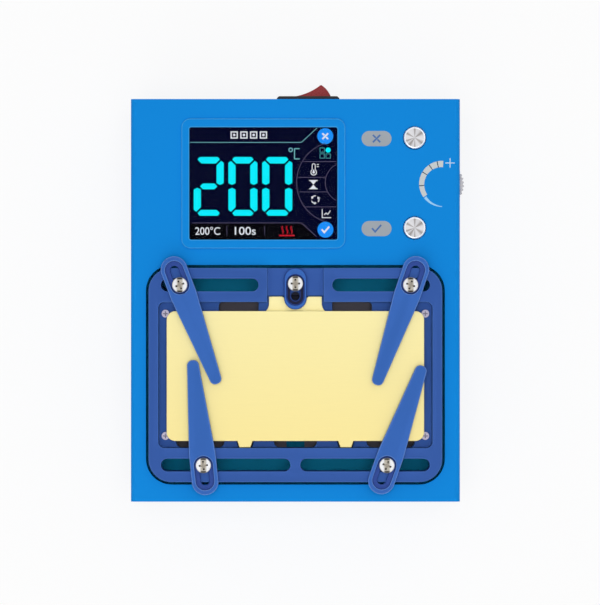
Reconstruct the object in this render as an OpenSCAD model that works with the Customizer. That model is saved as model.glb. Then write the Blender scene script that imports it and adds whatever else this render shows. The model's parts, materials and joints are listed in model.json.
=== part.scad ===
// Benchtop circuit board preheater: a clamped heating stage in a two-piece sheet metal case
// X points right, Y to the rear and Z up, with the standing surface at Z = 0

/* [Case] */
// Width of the case
body_w = 108; // [97:1:130]
// Depth of the case, front to rear
body_d = 132; // [118:1:160]
// Height of the case without its feet
body_h = 38; // [35:1:50]
// Thickness of the case sheet
sheet = 1.2; // [1:0.1:1.4]
// Outside radius of the sheet bends
bend_r = 1.6; // [1.5:0.1:2]
// Gap between the cover and the tray
case_fit = 0.15; // [0.1:0.05:0.3]
// Height of the tray's side lips above its floor
lip_h = 10; // [8:1:14]
// Diameter of a rubber foot
foot_d = 10; // [9:0.5:12]
// Height of a rubber foot
foot_h = 3; // [2.5:0.1:5]
// Inset of a foot's centre from the case edges
foot_inset = 12; // [10:1:16]
// Width of a vent slot
vent_w = 2.4; // [1.5:0.1:3]
// Length of a side vent slot
vent_l = 12; // [8:0.5:14]
// Spacing of the vent slots
vent_pitch = 7; // [5:0.5:9]
// Number of vent slots on each side
vent_count = 8; // [4:1:9]

/* [Heating stage] */
// Width of the cover on each side of the stage opening
side_land = 5; // [4.5:0.1:8]
// Depth of the cover in front of the stage opening
front_land = 5.6; // [5:0.1:8]
// Depth of the cover behind the stage opening, which carries the display
display_strip = 54.4; // [50:0.1:60]
// Height of the stage frame
frame_h = 7; // [6.5:0.1:8]
// Corner radius of the stage frame
frame_r = 7.5; // [6:0.5:9]
// Gap between the frame and the cover's opening
stage_gap = 1; // [0.6:0.1:1.2]
// Height of the frame's top above the cover
frame_proud = 3; // [2.6:0.1:4]
// Width of the frame's left and right rims
side_rim = 3.25; // [3:0.05:3.5]
// Width of the frame's front and rear rims
end_rim = 11.15; // [10:0.05:12.2]
// Depth of the plate pocket
pocket_h = 4; // [3.6:0.1:4.4]
// Width of a clamp slot
slot_w = 4.1; // [4:0.1:4.6]
// Distance from the frame's side to the outer end of a clamp slot
slot_margin = 4.1; // [4:0.1:5]
// Distance from the centre line to a rear slot's inner end
rear_slot_inner = 12.1; // [11:0.1:13.3]
// Distance from the centre line to a front slot's inner end
front_slot_inner = 1.65; // [1.5:0.05:3]
// Width of the centre channel for the plate lock
channel_w = 18.4; // [18:0.1:19]
// Depth of the centre channel below the frame's top
channel_h = 2.7; // [2.6:0.05:2.8]

/* [Heat plate] */
// Gap between the heat plate and the pocket's side walls
plate_side_gap = 2.65; // [2.4:0.05:3]
// Gap between the heat plate and the pocket's front and rear walls, with the plate in the middle
plate_end_gap = 2.6; // [2.4:0.05:3]
// Thickness of the heat plate
plate_t = 2; // [1.6:0.1:2.2]
// Corner radius of the heat plate
plate_r = 2.9; // [2:0.1:4]
// Distance of the plate's top below the frame's top
plate_drop = 0.4; // [0.3:0.05:0.6]
// Gap between the plate's rear fork and each side of the channel
fork_side_gap = 0.5; // [0.3:0.05:1]
// Width of a front tab at its root
tab_w = 4.9; // [4:0.1:5]
// Distance of a front tab from the plate's side
tab_inset = 25.6; // [24:0.1:27]

/* [Heater] */
// Distance of the heater block from the plate's sides
block_side_inset = 6.1; // [5.5:0.1:8]
// Distance of the heater block from the plate's front and rear
block_end_inset = 4.75; // [4.3:0.05:6]
// Height of the heater block
block_h = 8; // [7.5:0.1:8.5]
// Diameter of a heater cartridge
cartridge_d = 6; // [5:0.1:6.5]
// Diameter of the temperature probe
probe_d = 3; // [2:0.1:3.5]
// Thickness of the insulation sheet
insulation_t = 1.6; // [1:0.1:2]
// Thickness of the heat shield
shield_t = 0.8; // [0.6:0.1:1]
// Depth of the heat shield below the cover's underside
shield_h = 15.8; // [15.5:0.1:16.5]

/* [Clamps] */
// Distance left to the opposite slot by the tip of an arm that points straight across
arm_tip_gap = 24.35; // [24:0.05:30]
// Diameter of a clamp arm's wide end
arm_wide_d = 8.7; // [8.4:0.1:10]
// Width of a clamp arm at its tip
arm_tip_d = 3.6; // [3:0.1:5]
// Thickness of a clamp arm
arm_t = 2; // [1.8:0.1:2.4]
// Travel of a clamp arm along its own slot
arm_travel = 5.1; // [4:0.1:5.2]
// Diameter of the clamp and lock screws
screw_d = 2.5; // [2.2:0.1:2.6]
// Diameter of the clamp and lock screw heads
head_d = 5; // [4.5:0.1:5.2]
// Distance of the rear left clamp screw from the outer end of its slot
rear_left_inset = 4.16; // [0.5:0.01:8]
// Distance of the rear right clamp screw from the outer end of its slot
rear_right_inset = 4.28; // [0.5:0.01:8]
// Distance of the front left clamp screw from the outer end of its slot
front_left_inset = 11.86; // [9:0.01:14]
// Distance of the front right clamp screw from the outer end of its slot
front_right_inset = 11.99; // [9:0.01:14]
// Direction of the rear left arm
rear_left_turn = -69.2; // [-69.5:0.1:-67]
// Direction of the rear right arm
rear_right_turn = -109; // [-110:0.1:-107]
// Direction of the front left arm
front_left_turn = 96; // [95.5:0.1:98]
// Direction of the front right arm
front_right_turn = 70.3; // [69:0.1:72]
// Gap between the plate lock's front end and the heat plate
lock_gap = 0.5; // [0.3:0.05:1]
// Width of the plate lock
lock_w = 7.4; // [7.2:0.1:8]
// Travel of the plate lock
lock_travel = 4.2; // [3.5:0.1:4.3]

/* [Display and controls] */
// Width of the display window
window_w = 48.5; // [44:0.1:53]
// Depth of the display window
window_d = 36.8; // [33:0.1:40]
// Width of the bezel's rim left and right of the window
bezel_rim = 2.6; // [2.4:0.1:3]
// Width of the bezel's rim in front of and behind the window
bezel_end_rim = 2.9; // [2.6:0.1:3.2]
// Height of the bezel above the cover
bezel_h = 0.8; // [0.6:0.1:1.2]
// Distance of the display's centre from the left edge
display_inset_x = 43.5; // [40:0.1:46]
// Distance of the display's centre in front of the middle of its strip
display_shift = 0.5; // [0:0.1:1]
// Diameter of a button
button_d = 7.3; // [7:0.1:8]
// Height of a button above the cover
button_h = 1.4; // [1.2:0.1:2]
// Travel of a button
button_travel = 0.6; // [0.4:0.05:0.8]
// Distance of the buttons from the right edge
button_inset = 14.93; // [14.8:0.01:16]
// Distance between the two buttons
button_pitch = 29.5; // [29:0.1:31]
// Diameter of the thumbwheel
wheel_d = 14.8; // [14:0.1:15]
// Thickness of the thumbwheel
wheel_t = 4.5; // [4:0.1:5]
// Reach of the thumbwheel out of the right wall
wheel_reach = 1.5; // [1.2:0.1:1.8]
// Number of grip grooves on the thumbwheel
wheel_grooves = 36; // [24:1:40]

/* [Rear wall] */
// Width of the switch flange
switch_w = 20.8; // [20:0.1:22]
// Height of the switch flange
switch_h = 15; // [14.6:0.1:16]
// Thickness of the switch flange
switch_flange = 2; // [1.6:0.1:2.4]
// Distance between the inlet and the switch
switch_pitch = 30.2; // [28:0.1:34]
// Gap between the switch's body and the control board above it
switch_headroom = 1.75; // [1:0.05:3]
// Half of the rocker's swing
rocker_tilt = 19; // [15:0.5:20]
// Width of the inlet's socket
socket_w = 24.4; // [24:0.1:25]
// Height of the inlet's socket
socket_h = 16.4; // [16:0.1:17]
// Distance of the inlet's centre from the left edge
inlet_inset = 28; // [25:0.1:30]
// Gap between the inlet and the control board above it
inlet_headroom = 0.9; // [0.5:0.05:2]

/* [Boards] */
// Thickness of a circuit board
board_t = 1.6; // [1.2:0.1:1.8]
// Depth of the control board's top below the cover's underside
control_drop = 9.8; // [9.5:0.1:10.2]
// Height of the power board's standoffs
power_rise = 2.3; // [2.2:0.1:3]

/* [Hidden] */
$fn = 64;

// Colours as seen
case_blue = [0.08, 0.53, 0.84];
stage_blue = [0.21, 0.38, 0.64];
arm_blue = [0.22, 0.41, 0.73];
gold = [0.98, 0.93, 0.67];
steel = [0.75, 0.76, 0.78];
black = [0.10, 0.10, 0.11];
board_green = [0.06, 0.30, 0.16];

// Overlap of a cut with the face that it passes through
cut = 1;
// Gap between flat faces that slide on each other
slide_gap = 0.05;
// Radial gap round a running pin
run_gap = 0.05;
// Radial gap round a screw in its clearance hole
hole_gap = 0.15;
// Gap round a piece that moves in an opening
free_gap = 0.35;

// Share of a screw head's diameter that its cross recess spans
recess_share = 0.6;

// Heights of the case
half_w = body_w / 2;
half_d = body_d / 2;
z_base = foot_h;
z_floor = z_base + sheet;
z_top = z_base + body_h;
z_under = z_top - sheet;
bend_in = bend_r - sheet;
tray_w = body_w - 2 * sheet - 2 * case_fit;
wall_in_x = half_w - sheet;
wall_in_y = half_d - sheet;

// Cover screws
cover_screw_d = 2.5;
cover_head_d = 4.5;
cover_screw_l = 5;
cover_screw_inset = 14;
cover_screw_z = z_floor + lip_h / 2;
cover_head_l = (cover_head_d - cover_screw_d) / 2;
cover_bore_l = 3.6;
vent_rise = 1.5;

// Feet and their screws
foot_screw_d = 3;
foot_head_d = 5.6;
foot_head_h = 1.4;
foot_head_gap = 0.3;
foot_taper = 1;
foot_recess = 1.7;
foot_screw_end = 1.6;
foot_places = [for (x = [-1, 1], y = [-1, 1]) [x * (half_w - foot_inset), y * (half_d - foot_inset)]];

// Stage heights and places
opening_w = body_w - 2 * side_land;
opening_d = body_d - front_land - display_strip;
opening_r = frame_r + stage_gap;
frame_w = opening_w - 2 * stage_gap;
frame_d = opening_d - 2 * stage_gap;
stage_y = -half_d + front_land + opening_d / 2;
z_frame_top = z_top + frame_proud;
z_frame = z_frame_top - frame_h;
z_pocket = z_frame_top - pocket_h;
z_channel = z_frame_top - channel_h;
z_plate_top = z_frame_top - plate_drop;
z_plate = z_plate_top - plate_t;
pocket_w = frame_w - 2 * side_rim;
pocket_d = frame_d - 2 * end_rim;
pocket_r = 2;
slot_y = (frame_d - end_rim) / 2;
slot_outer = frame_w / 2 - slot_margin;

// Heat plate, its front tabs and its rear fork
plate_w = pocket_w - 2 * plate_side_gap;
plate_d = pocket_d - 2 * plate_end_gap;
plate_shift = -0.35;
plate_rear = plate_d / 2 + plate_shift;
tab_x = plate_w / 2 - tab_inset;
tab_taper = 0.65;
tab_end_gap = 0.2;
tab_l = plate_end_gap + plate_shift - tab_end_gap;
fork_lift = 0.3;
fork_end_gap = 0.3;
fork_recess = 2.1;
fork_root = 3.2;
fork_tip_r = 1.4;
fork_flare = 0.95;
fork_flare_l = 2;
fork_flare_bend = 0.3;
fork_overlap = 0.4;
fork_w = channel_w - 2 * fork_side_gap;
fork_end = pocket_d / 2 + fork_recess - fork_end_gap;
z_fork = z_pocket + fork_lift;

// Well and windows in the pocket floor
well_side_gap = 3;
well_end_gap = 2.3;
well_r = 3;
block_w = plate_w - 2 * block_side_inset;
block_d = plate_d - 2 * block_end_inset;
well_w = block_w + 2 * well_side_gap;
well_d = block_d + 2 * well_end_gap;
rear_window_inner = rear_slot_inner;
rear_window_w = 13;
rear_window_r = 1.3;
front_window_inset = 5.65;
front_window_w = 15.7;
front_window_x = pocket_w / 2 - front_window_inset - front_window_w / 2;
front_window_r = 1.8;
middle_lug = 9.5;
middle_window = tab_x - middle_lug;
tab_gap = 0.4;

// Stage screws and standoffs
stage_screw_side = 2.15;
stage_screw_end = 3.8;
stage_screw_x = pocket_w / 2 - stage_screw_side;
stage_screw_y = pocket_d / 2 - stage_screw_end;
stage_screw_d = 1.6;
stage_head_d = 2.6;
stage_head_h = 0.9;
stage_screw_l = 9;
standoff_across = 5;
stage_places = [for (x = [-1, 1], y = [-1, 1]) [x * stage_screw_x, stage_y + y * stage_screw_y]];

// Heat shield
shield_inset = 1;
shield_lip = 1.4;
shield_in_w = opening_w + 2 * shield_inset;
shield_in_d = opening_d + 2 * shield_inset;
shield_in_r = opening_r + shield_inset;
z_shield = z_under - shield_h;
z_shield_floor = z_shield + shield_t;

// Heater stack
z_block = z_plate - block_h;
z_insulation = z_block - insulation_t;
insulation_gap = 0.7;
insulation_side = stage_screw_x - standoff_across / 2 - insulation_gap;
insulation_rear_reach = 0.6;
insulation_rear = pocket_d / 2 + insulation_rear_reach;
insulation_front_reach = 1.2;
insulation_front = pocket_d / 2 + insulation_front_reach;
insulation_notch = 6;
insulation_notch_d = 6;
post_d = 6;
post_side = 8;
post_end = 4;
post_x = block_w / 2 - post_side;
post_y = block_d / 2 - post_end;
cartridge_y = block_d / 4;
cartridge_wall = 6;
cartridge_l = block_w - cartridge_wall;
bore_gap = 0.05;
probe_l = block_w / 2;

// Plate lock
z_lock = z_channel + slide_gap;
lock_t = 2;
lock_step = 0.9;
lock_slot_w = screw_d + 2 * hole_gap;
lock_counter_w = head_d + 2 * free_gap;
lock_screw_inset = 5.1;
lock_l = frame_d / 2 - plate_rear - lock_gap;
lock_rear_y = stage_y + frame_d / 2;
lock_screw_y = lock_rear_y - lock_screw_inset;
lock_front_y = lock_rear_y - lock_l + lock_w / 2;
lock_head_h = 1.1;
lock_screw_l = 3;
lock_bore_end = 0.2;

// Clamps
z_arm = z_frame_top + slide_gap;
arm_step = 1;
arm_slot_w = screw_d + 2 * hole_gap;
arm_counter_gap = 0.5;
arm_counter_w = head_d + 2 * arm_counter_gap;
arm_l = 2 * slot_y - arm_tip_gap;
arm_tail = 5.35;
arm_shoulder_land = 0.8;
arm_shoulder = arm_counter_w / 2 + arm_shoulder_land;
arm_tip_flat = 0.4;
side_inset = 0.005;
arm_head_h = 1.25;
nut_neck_d = slot_w - 4 * run_gap;
nut_flange = 7;
nut_flange_h = 2.4;
z_nut = z_frame - slide_gap - nut_flange_h;
screw_tail = 0.5;
rear_slot_y = stage_y + slot_y;
front_slot_y = stage_y - slot_y;
slot_end_x = slot_outer - slot_w / 2;
clamps = [
    ["rear_left", rear_left_inset - slot_end_x, rear_slot_y, rear_left_turn],
    ["rear_right", slot_end_x - rear_right_inset, rear_slot_y, rear_right_turn],
    ["front_left", front_left_inset - slot_end_x, front_slot_y, front_left_turn],
    ["front_right", slot_end_x - front_right_inset, front_slot_y, front_right_turn]
];

// Display
display_x = -half_w + display_inset_x;
display_y = half_d - display_strip / 2 - display_shift;
bezel_w = window_w + 2 * bezel_rim;
bezel_d = window_d + 2 * bezel_end_rim;
bezel_r = 3;
collar_r = 1.5;
collar_rim = 1.3;
collar_w = window_w + 2 * collar_rim;
collar_d = window_d + 2 * collar_rim;
collar_h = 2.7;
collar_fit = 0.1;
window_r = 0.6;
window_seat = 0.75;
window_seat_r = 0.8;
window_fit = 0.05;
window_t = 1.1;
window_lip = 1.2;
z_window_top = z_top + bezel_h - window_lip;
z_collar = z_top - collar_h;
module_side = 5.85;
module_end = 2.9;
module_w = window_w + 2 * module_side;
module_d = window_d + 2 * module_end;
module_t = 2.4;
module_r = 0.5;
glass_rim = 0.4;
glass_t = z_window_top - window_t - z_collar - slide_gap;
z_module = z_collar - module_t;
spacer_d = 4;
spacer_inset = 3;

// Control board
z_control_top = z_under - control_drop;
z_control = z_control_top - board_t;
shield_rear_y = stage_y + shield_in_d / 2 + shield_t;
board_standoff_d = 5;
board_standoff_gap = 0.4;
board_hole_inset = 3;
board_left_x = display_x - module_w / 2 - board_standoff_gap - board_standoff_d / 2;
board_edge_gap = 0.6;
control_left = board_left_x - board_hole_inset;
control_right = wall_in_x - board_edge_gap;
control_rear_gap = 3.3;
control_rear = wall_in_y - control_rear_gap;
control_front = shield_rear_y + shield_lip;
board_hole_d = 2.7;
board_screw_d = 2.5;
board_screw_head = 4.6;
board_screw_head_h = 1.5;
board_screw_l = 5;

// Buttons
button_x = half_w - button_inset;
button_shift = 0.2;
button_ys = [for (s = [1, -1]) display_y + s * button_pitch / 2 + button_shift];
button_gap = 0.2;
button_flange = 1.25;
button_flange_h = 1.15;
button_boss_d = 4;
button_boss_h = 0.7;
button_boss_root = 0.2;
button_bevel = 0.35;
z_button_flange = z_under - slide_gap - button_flange_h;
z_button = z_button_flange - button_boss_h;
key_size = 6;
key_h = 4;
key_plunger_d = 3.4;

// Control board's fastening, with its right column between the display and the keys
board_right_x = (display_x + module_w / 2 + button_x - key_size / 2) / 2;
board_ys = [control_front + board_hole_inset, control_rear - board_hole_inset];
board_places = [for (x = [board_left_x, board_right_x], y = board_ys) [x, y]];

// Thumbwheel
wheel_x = half_w + wheel_reach - wheel_d / 2;
wheel_shift = -0.1;
wheel_y = display_y + wheel_shift;
wheel_groove = 0.7;
wheel_play = 0.3;
encoder_size = 8;
encoder_h = 2.5;
z_wheel = z_control_top + encoder_h + wheel_play;
axle_d = 3;
axle_end = 0.3;
axle_root = 0.5;
wheel_slot_side = 0.5;
wheel_slot_half = sqrt(pow(wheel_d / 2, 2) - pow(wall_in_x - wheel_x, 2)) + wheel_slot_side;
wheel_slot_gap = 0.7;

// Rear switch
switch_side = 0.95;
switch_end = 1.05;
switch_bevel = 0.7;
switch_body_w = switch_w - 2 * switch_side;
switch_body_h = switch_h - 2 * switch_end;
switch_body_l = 16;
switch_z = z_control - switch_headroom - switch_body_h / 2;
switch_fit = 0.15;
mouth_gap = 0.3;
mouth_depth = 9;
mouth_side = 1.9;
mouth_end = 2.5;
mouth_w = switch_w - 2 * mouth_side;
mouth_h = switch_h - 2 * mouth_end;
rocker_w = mouth_w - 2 * mouth_gap;
rocker_h = mouth_h - 2 * mouth_gap;
rocker_rise = 5.2;
rocker_dish = 1.1;
rocker_back = 2;
pivot_depth = 3;
pivot_d = 2.4;
pivot_l = 0.9;
switch_pivot_y = half_d + switch_flange - pivot_depth;
rocker_corner = sqrt(pow(rocker_w / 2, 2) - pow(rocker_rise, 2));
dish_r = (pow(rocker_corner, 2) + pow(rocker_dish, 2)) / (2 * rocker_dish);
rocker_peak = rocker_corner * sin(rocker_tilt) + rocker_rise * cos(rocker_tilt);
switch_reach = switch_pivot_y + rocker_peak - half_d;
terminal_w = 4.8;
terminal_t = 0.8;
terminal_l = 8;
terminal_x = 4.6;

// Mains inlet
inlet_x = -half_w + inlet_inset;
switch_x = inlet_x + switch_pitch;
inlet_wall = 1.5;
inlet_flange = 1.9;
inlet_flange_t = 2;
inlet_l = 18;
inlet_floor = 2;
inlet_w = socket_w + 2 * inlet_wall;
inlet_h = socket_h + 2 * inlet_wall;
inlet_fit = 0.15;
socket_chamfer = 5;
pin_w = 2;
pin_h = 4;
pin_l = 12;
pin_x = 7;
pin_z = 2;
inlet_z = z_control - inlet_headroom - inlet_h / 2;

// Power board
power_gap = 1;
z_power = z_floor + power_rise;
z_power_top = z_power + board_t;
power_side_gap = 5.45;
power_inset = 4;
power_d = 67;
power_w = tray_w - 2 * sheet - 2 * power_side_gap;
power_rear = half_d - inlet_l - power_gap;
power_front = power_rear - power_d;
power_places = [for (x = [-1, 1], y = [power_front + power_inset, power_rear - power_inset])
    [x * (power_w / 2 - power_inset), y]];
power_standoff_d = 6;
power_standoff_floor = 0.4;
power_head_h = 1.6;
power_screw_end = 1.6;

// Pieces on the power board
core_w = 20;
core_d = 22;
core_h = 13;
winding_end = 3;
winding_wall = 0.5;
winding_d = core_h - 2 * winding_wall;
transformer_side = 14;
transformer_gap = 1;
transformer_x = power_w / 2 - transformer_side - core_w / 2;
transformer_y = shield_rear_y + transformer_gap + winding_end + core_d / 2;
capacitor_d = 13;
capacitor_h = 16;
capacitor_gap = 6;
capacitor_x = transformer_x - core_w / 2 - capacitor_gap - capacitor_d / 2;
capacitor_y = shield_rear_y + transformer_gap + capacitor_d / 2;
fin_count = 7;
fin_pitch = 4.6;
fin_t = 2;
fin_h = 11;
sink_d = 14;
sink_base = 3;
sink_side = 10;
part_front = 6;
block_ways = 4;
block_pitch = 5;
block_depth = 9;
block_top = 10;
block_screw_d = 3.4;
block_screw_depth = 4;
block_side = 12;
wire_wall = 1;
wire_h = 3.2;
wire_floor = 1.5;
wire_depth = 3;
fuse_d = 5;
fuse_l = 20;
fuse_rise = 5;
fuse_clip = 3;
fuse_clip_inset = 0.5;
fuse_gap = 10;
fuse_y = power_rear - fuse_gap - fuse_d / 2;

// Whole model moved so that its box is centred over the origin
home = [-wheel_reach / 2, -switch_reach / 2, 0];

module at_home() {
    translate(home) children();
}

// Rectangle with round corners, centred
module round_rect(w, d, r) {
    square([w - 2 * r, d], center = true);
    square([w, d - 2 * r], center = true);
    for (x = [-1, 1], y = [-1, 1])
        translate([x * (w / 2 - r), y * (d / 2 - r)]) circle(r);
}

// Plate with round corners, standing on z = 0
module round_plate(w, d, h, r) {
    linear_extrude(h) round_rect(w, d, r);
}

// Slot with round ends between two points on the X axis
module slot(from, to, w) {
    translate([from, -w / 2]) square([to - from, w]);
    for (x = [from, to])
        translate([x, 0]) circle(d = w);
}

// Cross recess in the top of a screw head at z = 0
module cross_recess(head) {
    size = head * recess_share;
    for (a = [0, 90])
        rotate(a) translate([-size / 2, -size / 10, -size / 4]) cube([size, size / 5, size]);
}

// Screw with a pan head that sits on z = 0, its shank below
module pan_screw(d, head, head_h, l) {
    difference() {
        cylinder(d = head, h = head_h);
        translate([0, 0, head_h]) cross_recess(head);
    }
    translate([0, 0, -l]) cylinder(d = d, h = l);
}

// Sheet profile bent up at both sides: floor at y = 0, walls up to y = h
module bent_sheet(w, h) {
    difference() {
        union() {
            translate([-w / 2, bend_r]) square([w, h - bend_r]);
            translate([-w / 2 + bend_r, 0]) square([w - 2 * bend_r, h]);
            for (s = [-1, 1])
                translate([s * (w / 2 - bend_r), bend_r]) circle(bend_r);
        }
        translate([-w / 2 + sheet, bend_r]) square([w - 2 * sheet, h]);
        translate([-w / 2 + bend_r, sheet]) square([w - 2 * bend_r, h]);
        for (s = [-1, 1])
            translate([s * (w / 2 - bend_r), bend_r]) circle(bend_in);
    }
}

// Cut that rounds an outer corner at the origin, for an outline that lies to its lower left
module corner_cut(r) {
    translate([-r, -r]) difference() {
        square(r + cut);
        circle(r);
    }
}

// Column of the cover screws along a side wall
module cover_screw_places() {
    for (s = [-1, 1], y = [-1, 1])
        translate([s * half_w, y * (half_d - cover_screw_inset), cover_screw_z])
            rotate([0, s * 90, 0]) children();
}

module top_cover() {
    color(case_blue) at_home() difference() {
        translate([0, half_d, z_top]) rotate([90, 0, 0]) mirror([0, 1, 0])
            linear_extrude(body_d) bent_sheet(body_w, body_h);
        translate([0, stage_y, z_under - cut]) round_plate(opening_w, opening_d, sheet + 2 * cut, opening_r);
        translate([display_x, display_y, z_under - cut])
            round_plate(collar_w + 2 * collar_fit, collar_d + 2 * collar_fit,
                        sheet + 2 * cut, collar_r + collar_fit);
        for (y = button_ys)
            translate([button_x, y, z_under - cut])
                cylinder(d = button_d + 2 * button_gap, h = sheet + 2 * cut);
        translate([wall_in_x - cut, wheel_y - wheel_slot_half, z_wheel - wheel_slot_gap])
            cube([sheet + 2 * cut, 2 * wheel_slot_half, wheel_t + 2 * wheel_slot_gap]);
        for (i = [0:vent_count - 1])
            translate([0, stage_y + (i - (vent_count - 1) / 2) * vent_pitch, z_floor + lip_h + vent_rise])
                rotate([90, 0, 90]) translate([0, 0, -half_w - cut]) linear_extrude(body_w + 2 * cut)
                    rotate(90) slot(vent_w / 2, vent_l - vent_w / 2, vent_w);
        cover_screw_places() cover_screw_hole();
    }
}

// Countersunk hole through the cover wall, its rim at z = 0
module cover_screw_hole() {
    translate([0, 0, -sheet - cut]) cylinder(d = cover_screw_d + 2 * hole_gap, h = sheet + 2 * cut);
    translate([0, 0, -cover_head_l])
        cylinder(d1 = cover_screw_d + 2 * hole_gap, d2 = cover_head_d + 2 * hole_gap, h = cover_head_l);
    cylinder(d = cover_head_d + 2 * hole_gap, h = cut);
}

module base_tray() {
    color(case_blue) at_home() difference() {
        union() {
            translate([-tray_w / 2, 0, z_base]) rotate([90, 0, 90])
                linear_extrude(tray_w) bent_sheet(body_d, body_h - sheet - case_fit);
            for (s = [-1, 1])
                translate([s * (tray_w / 2 - sheet / 2) - sheet / 2, -half_d + lip_h, z_base])
                    cube([sheet, body_d - 2 * lip_h, sheet + lip_h]);
        }
        for (p = foot_places)
            translate([p.x, p.y, z_base - cut])
                cylinder(d = foot_screw_d + 2 * hole_gap, h = sheet + 2 * cut);
        cover_screw_places()
            translate([0, 0, -cover_bore_l]) cylinder(d = cover_screw_d + 2 * bore_gap, h = cover_bore_l);
        translate([switch_x, wall_in_y - cut, switch_z])
            translate([-switch_body_w / 2 - switch_fit, 0, -switch_body_h / 2 - switch_fit])
                cube([switch_body_w + 2 * switch_fit, sheet + 2 * cut, switch_body_h + 2 * switch_fit]);
        translate([inlet_x - inlet_w / 2 - inlet_fit, wall_in_y - cut, inlet_z - inlet_h / 2 - inlet_fit])
            cube([inlet_w + 2 * inlet_fit, sheet + 2 * cut, inlet_h + 2 * inlet_fit]);
        for (x = [-1, 1], i = [0:vent_count - 1])
            translate([x * half_w / 4, stage_y + (i - (vent_count - 1) / 2) * vent_pitch, z_base - cut])
                linear_extrude(sheet + 2 * cut) slot(-vent_l / 2, vent_l / 2, vent_w);
    }
}

module cover_screws() {
    color(steel) at_home() cover_screw_places() {
        difference() {
            translate([0, 0, -cover_head_l])
                cylinder(d1 = cover_screw_d, d2 = cover_head_d, h = cover_head_l);
            cross_recess(cover_head_d);
        }
        translate([0, 0, -cover_screw_l]) cylinder(d = cover_screw_d, h = cover_screw_l - cover_head_l);
    }
}

module rubber_feet() {
    color(black) at_home() for (p = foot_places)
        translate([p.x, p.y, 0]) difference() {
            cylinder(d1 = foot_d - foot_taper, d2 = foot_d, h = foot_h);
            translate([0, 0, -cut]) cylinder(d = foot_screw_d + 2 * hole_gap, h = foot_h + 2 * cut);
            translate([0, 0, -cut]) cylinder(d = foot_head_d + 2 * foot_head_gap, h = foot_recess + cut);
        }
}

module foot_screws() {
    color(steel) at_home() for (p = foot_places)
        translate([p.x, p.y, foot_recess]) mirror([0, 0, 1])
            pan_screw(foot_screw_d, foot_head_d, foot_head_h, foot_h - foot_recess + sheet + foot_screw_end);
}

module display_bezel() {
    color(case_blue) at_home() translate([display_x, display_y, 0]) difference() {
        union() {
            translate([0, 0, z_top]) round_plate(bezel_w, bezel_d, bezel_h, bezel_r);
            translate([0, 0, z_collar]) round_plate(collar_w, collar_d, collar_h + bezel_h / 2, collar_r);
        }
        translate([0, 0, z_collar - cut])
            round_plate(window_w, window_d, collar_h + bezel_h + 2 * cut, window_r);
        translate([0, 0, z_collar - cut])
            round_plate(window_w + 2 * window_seat, window_d + 2 * window_seat,
                        z_window_top - z_collar + cut, window_seat_r);
    }
}

module display_window() {
    color([0.05, 0.06, 0.16]) at_home() translate([display_x, display_y, z_window_top - window_t])
        round_plate(window_w + 2 * (window_seat - window_fit), window_d + 2 * (window_seat - window_fit),
                    window_t, window_seat_r - window_fit);
}

module display_module() {
    color(black) at_home() translate([display_x, display_y, z_module]) {
        round_plate(module_w, module_d, module_t, module_r);
        translate([0, 0, module_t])
            round_plate(window_w + 2 * glass_rim, window_d + 2 * glass_rim, glass_t, module_r);
    }
}

module display_spacers() {
    color([0.9, 0.9, 0.85]) at_home() for (x = [-1, 1], y = [-1, 1])
        translate([display_x + x * (module_w / 2 - spacer_inset),
                   display_y + y * (module_d / 2 - spacer_inset), z_control_top])
            cylinder(d = spacer_d, h = z_module - z_control_top);
}

module control_board() {
    color(board_green) at_home() difference() {
        translate([control_left, control_front, z_control])
            cube([control_right - control_left, control_rear - control_front, board_t]);
        for (p = board_places)
            translate([p.x, p.y, z_control - cut]) cylinder(d = board_hole_d, h = board_t + 2 * cut);
    }
}

module board_standoffs() {
    color([0.78, 0.63, 0.3]) at_home() for (p = board_places)
        translate([p.x, p.y, z_control_top]) difference() {
            cylinder(d = board_standoff_d, h = z_under - z_control_top);
            translate([0, 0, -cut]) cylinder(d = board_hole_d, h = board_screw_l + cut);
        }
}

module board_screws() {
    color(steel) at_home() for (p = board_places)
        translate([p.x, p.y, z_control]) mirror([0, 0, 1])
            pan_screw(board_screw_d, board_screw_head, board_screw_head_h, board_screw_l);
}

// Metal button cap with a flange that stays under the cover
module button_cap(y) {
    translate([button_x, y, 0]) {
        translate([0, 0, z_button]) cylinder(d = button_boss_d, h = button_boss_h + button_boss_root);
        translate([0, 0, z_button_flange]) cylinder(d = button_d + 2 * button_flange, h = button_flange_h);
        translate([0, 0, z_button_flange])
            cylinder(d = button_d, h = z_top + button_h - button_bevel - z_button_flange);
        translate([0, 0, z_top + button_h - button_bevel])
            cylinder(d1 = button_d, d2 = button_d - 2 * button_bevel, h = button_bevel);
    }
}

module exit_button() {
    color(steel) at_home() button_cap(button_ys[0]);
}

module ok_button() {
    color(steel) at_home() button_cap(button_ys[1]);
}

module key_switches() {
    plunger_top = z_button - button_travel - slide_gap;
    color(black) at_home() for (y = button_ys)
        translate([button_x, y, z_control_top]) {
            translate([-key_size / 2, -key_size / 2, 0]) cube([key_size, key_size, key_h]);
            cylinder(d = key_plunger_d, h = plunger_top - z_control_top);
        }
}

module thumbwheel() {
    color([0.55, 0.57, 0.6]) at_home() translate([wheel_x, wheel_y, 0]) {
        translate([0, 0, z_wheel]) difference() {
            cylinder(d = wheel_d, h = wheel_t);
            for (i = [0:wheel_grooves - 1])
                rotate(i * 360 / wheel_grooves) translate([wheel_d / 2, 0, -cut])
                    rotate(45) cube([wheel_groove, wheel_groove, 3 * wheel_t], center = true);
        }
        translate([0, 0, z_control_top + axle_end])
            cylinder(d = axle_d, h = z_wheel - z_control_top - axle_end + axle_root);
    }
}

module wheel_encoder() {
    color(black) at_home() translate([wheel_x, wheel_y, z_control_top]) difference() {
        translate([-encoder_size / 2, -encoder_size / 2, 0]) cube([encoder_size, encoder_size, encoder_h]);
        translate([0, 0, axle_end / 2]) cylinder(d = axle_d + 2 * run_gap, h = encoder_h);
    }
}

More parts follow.
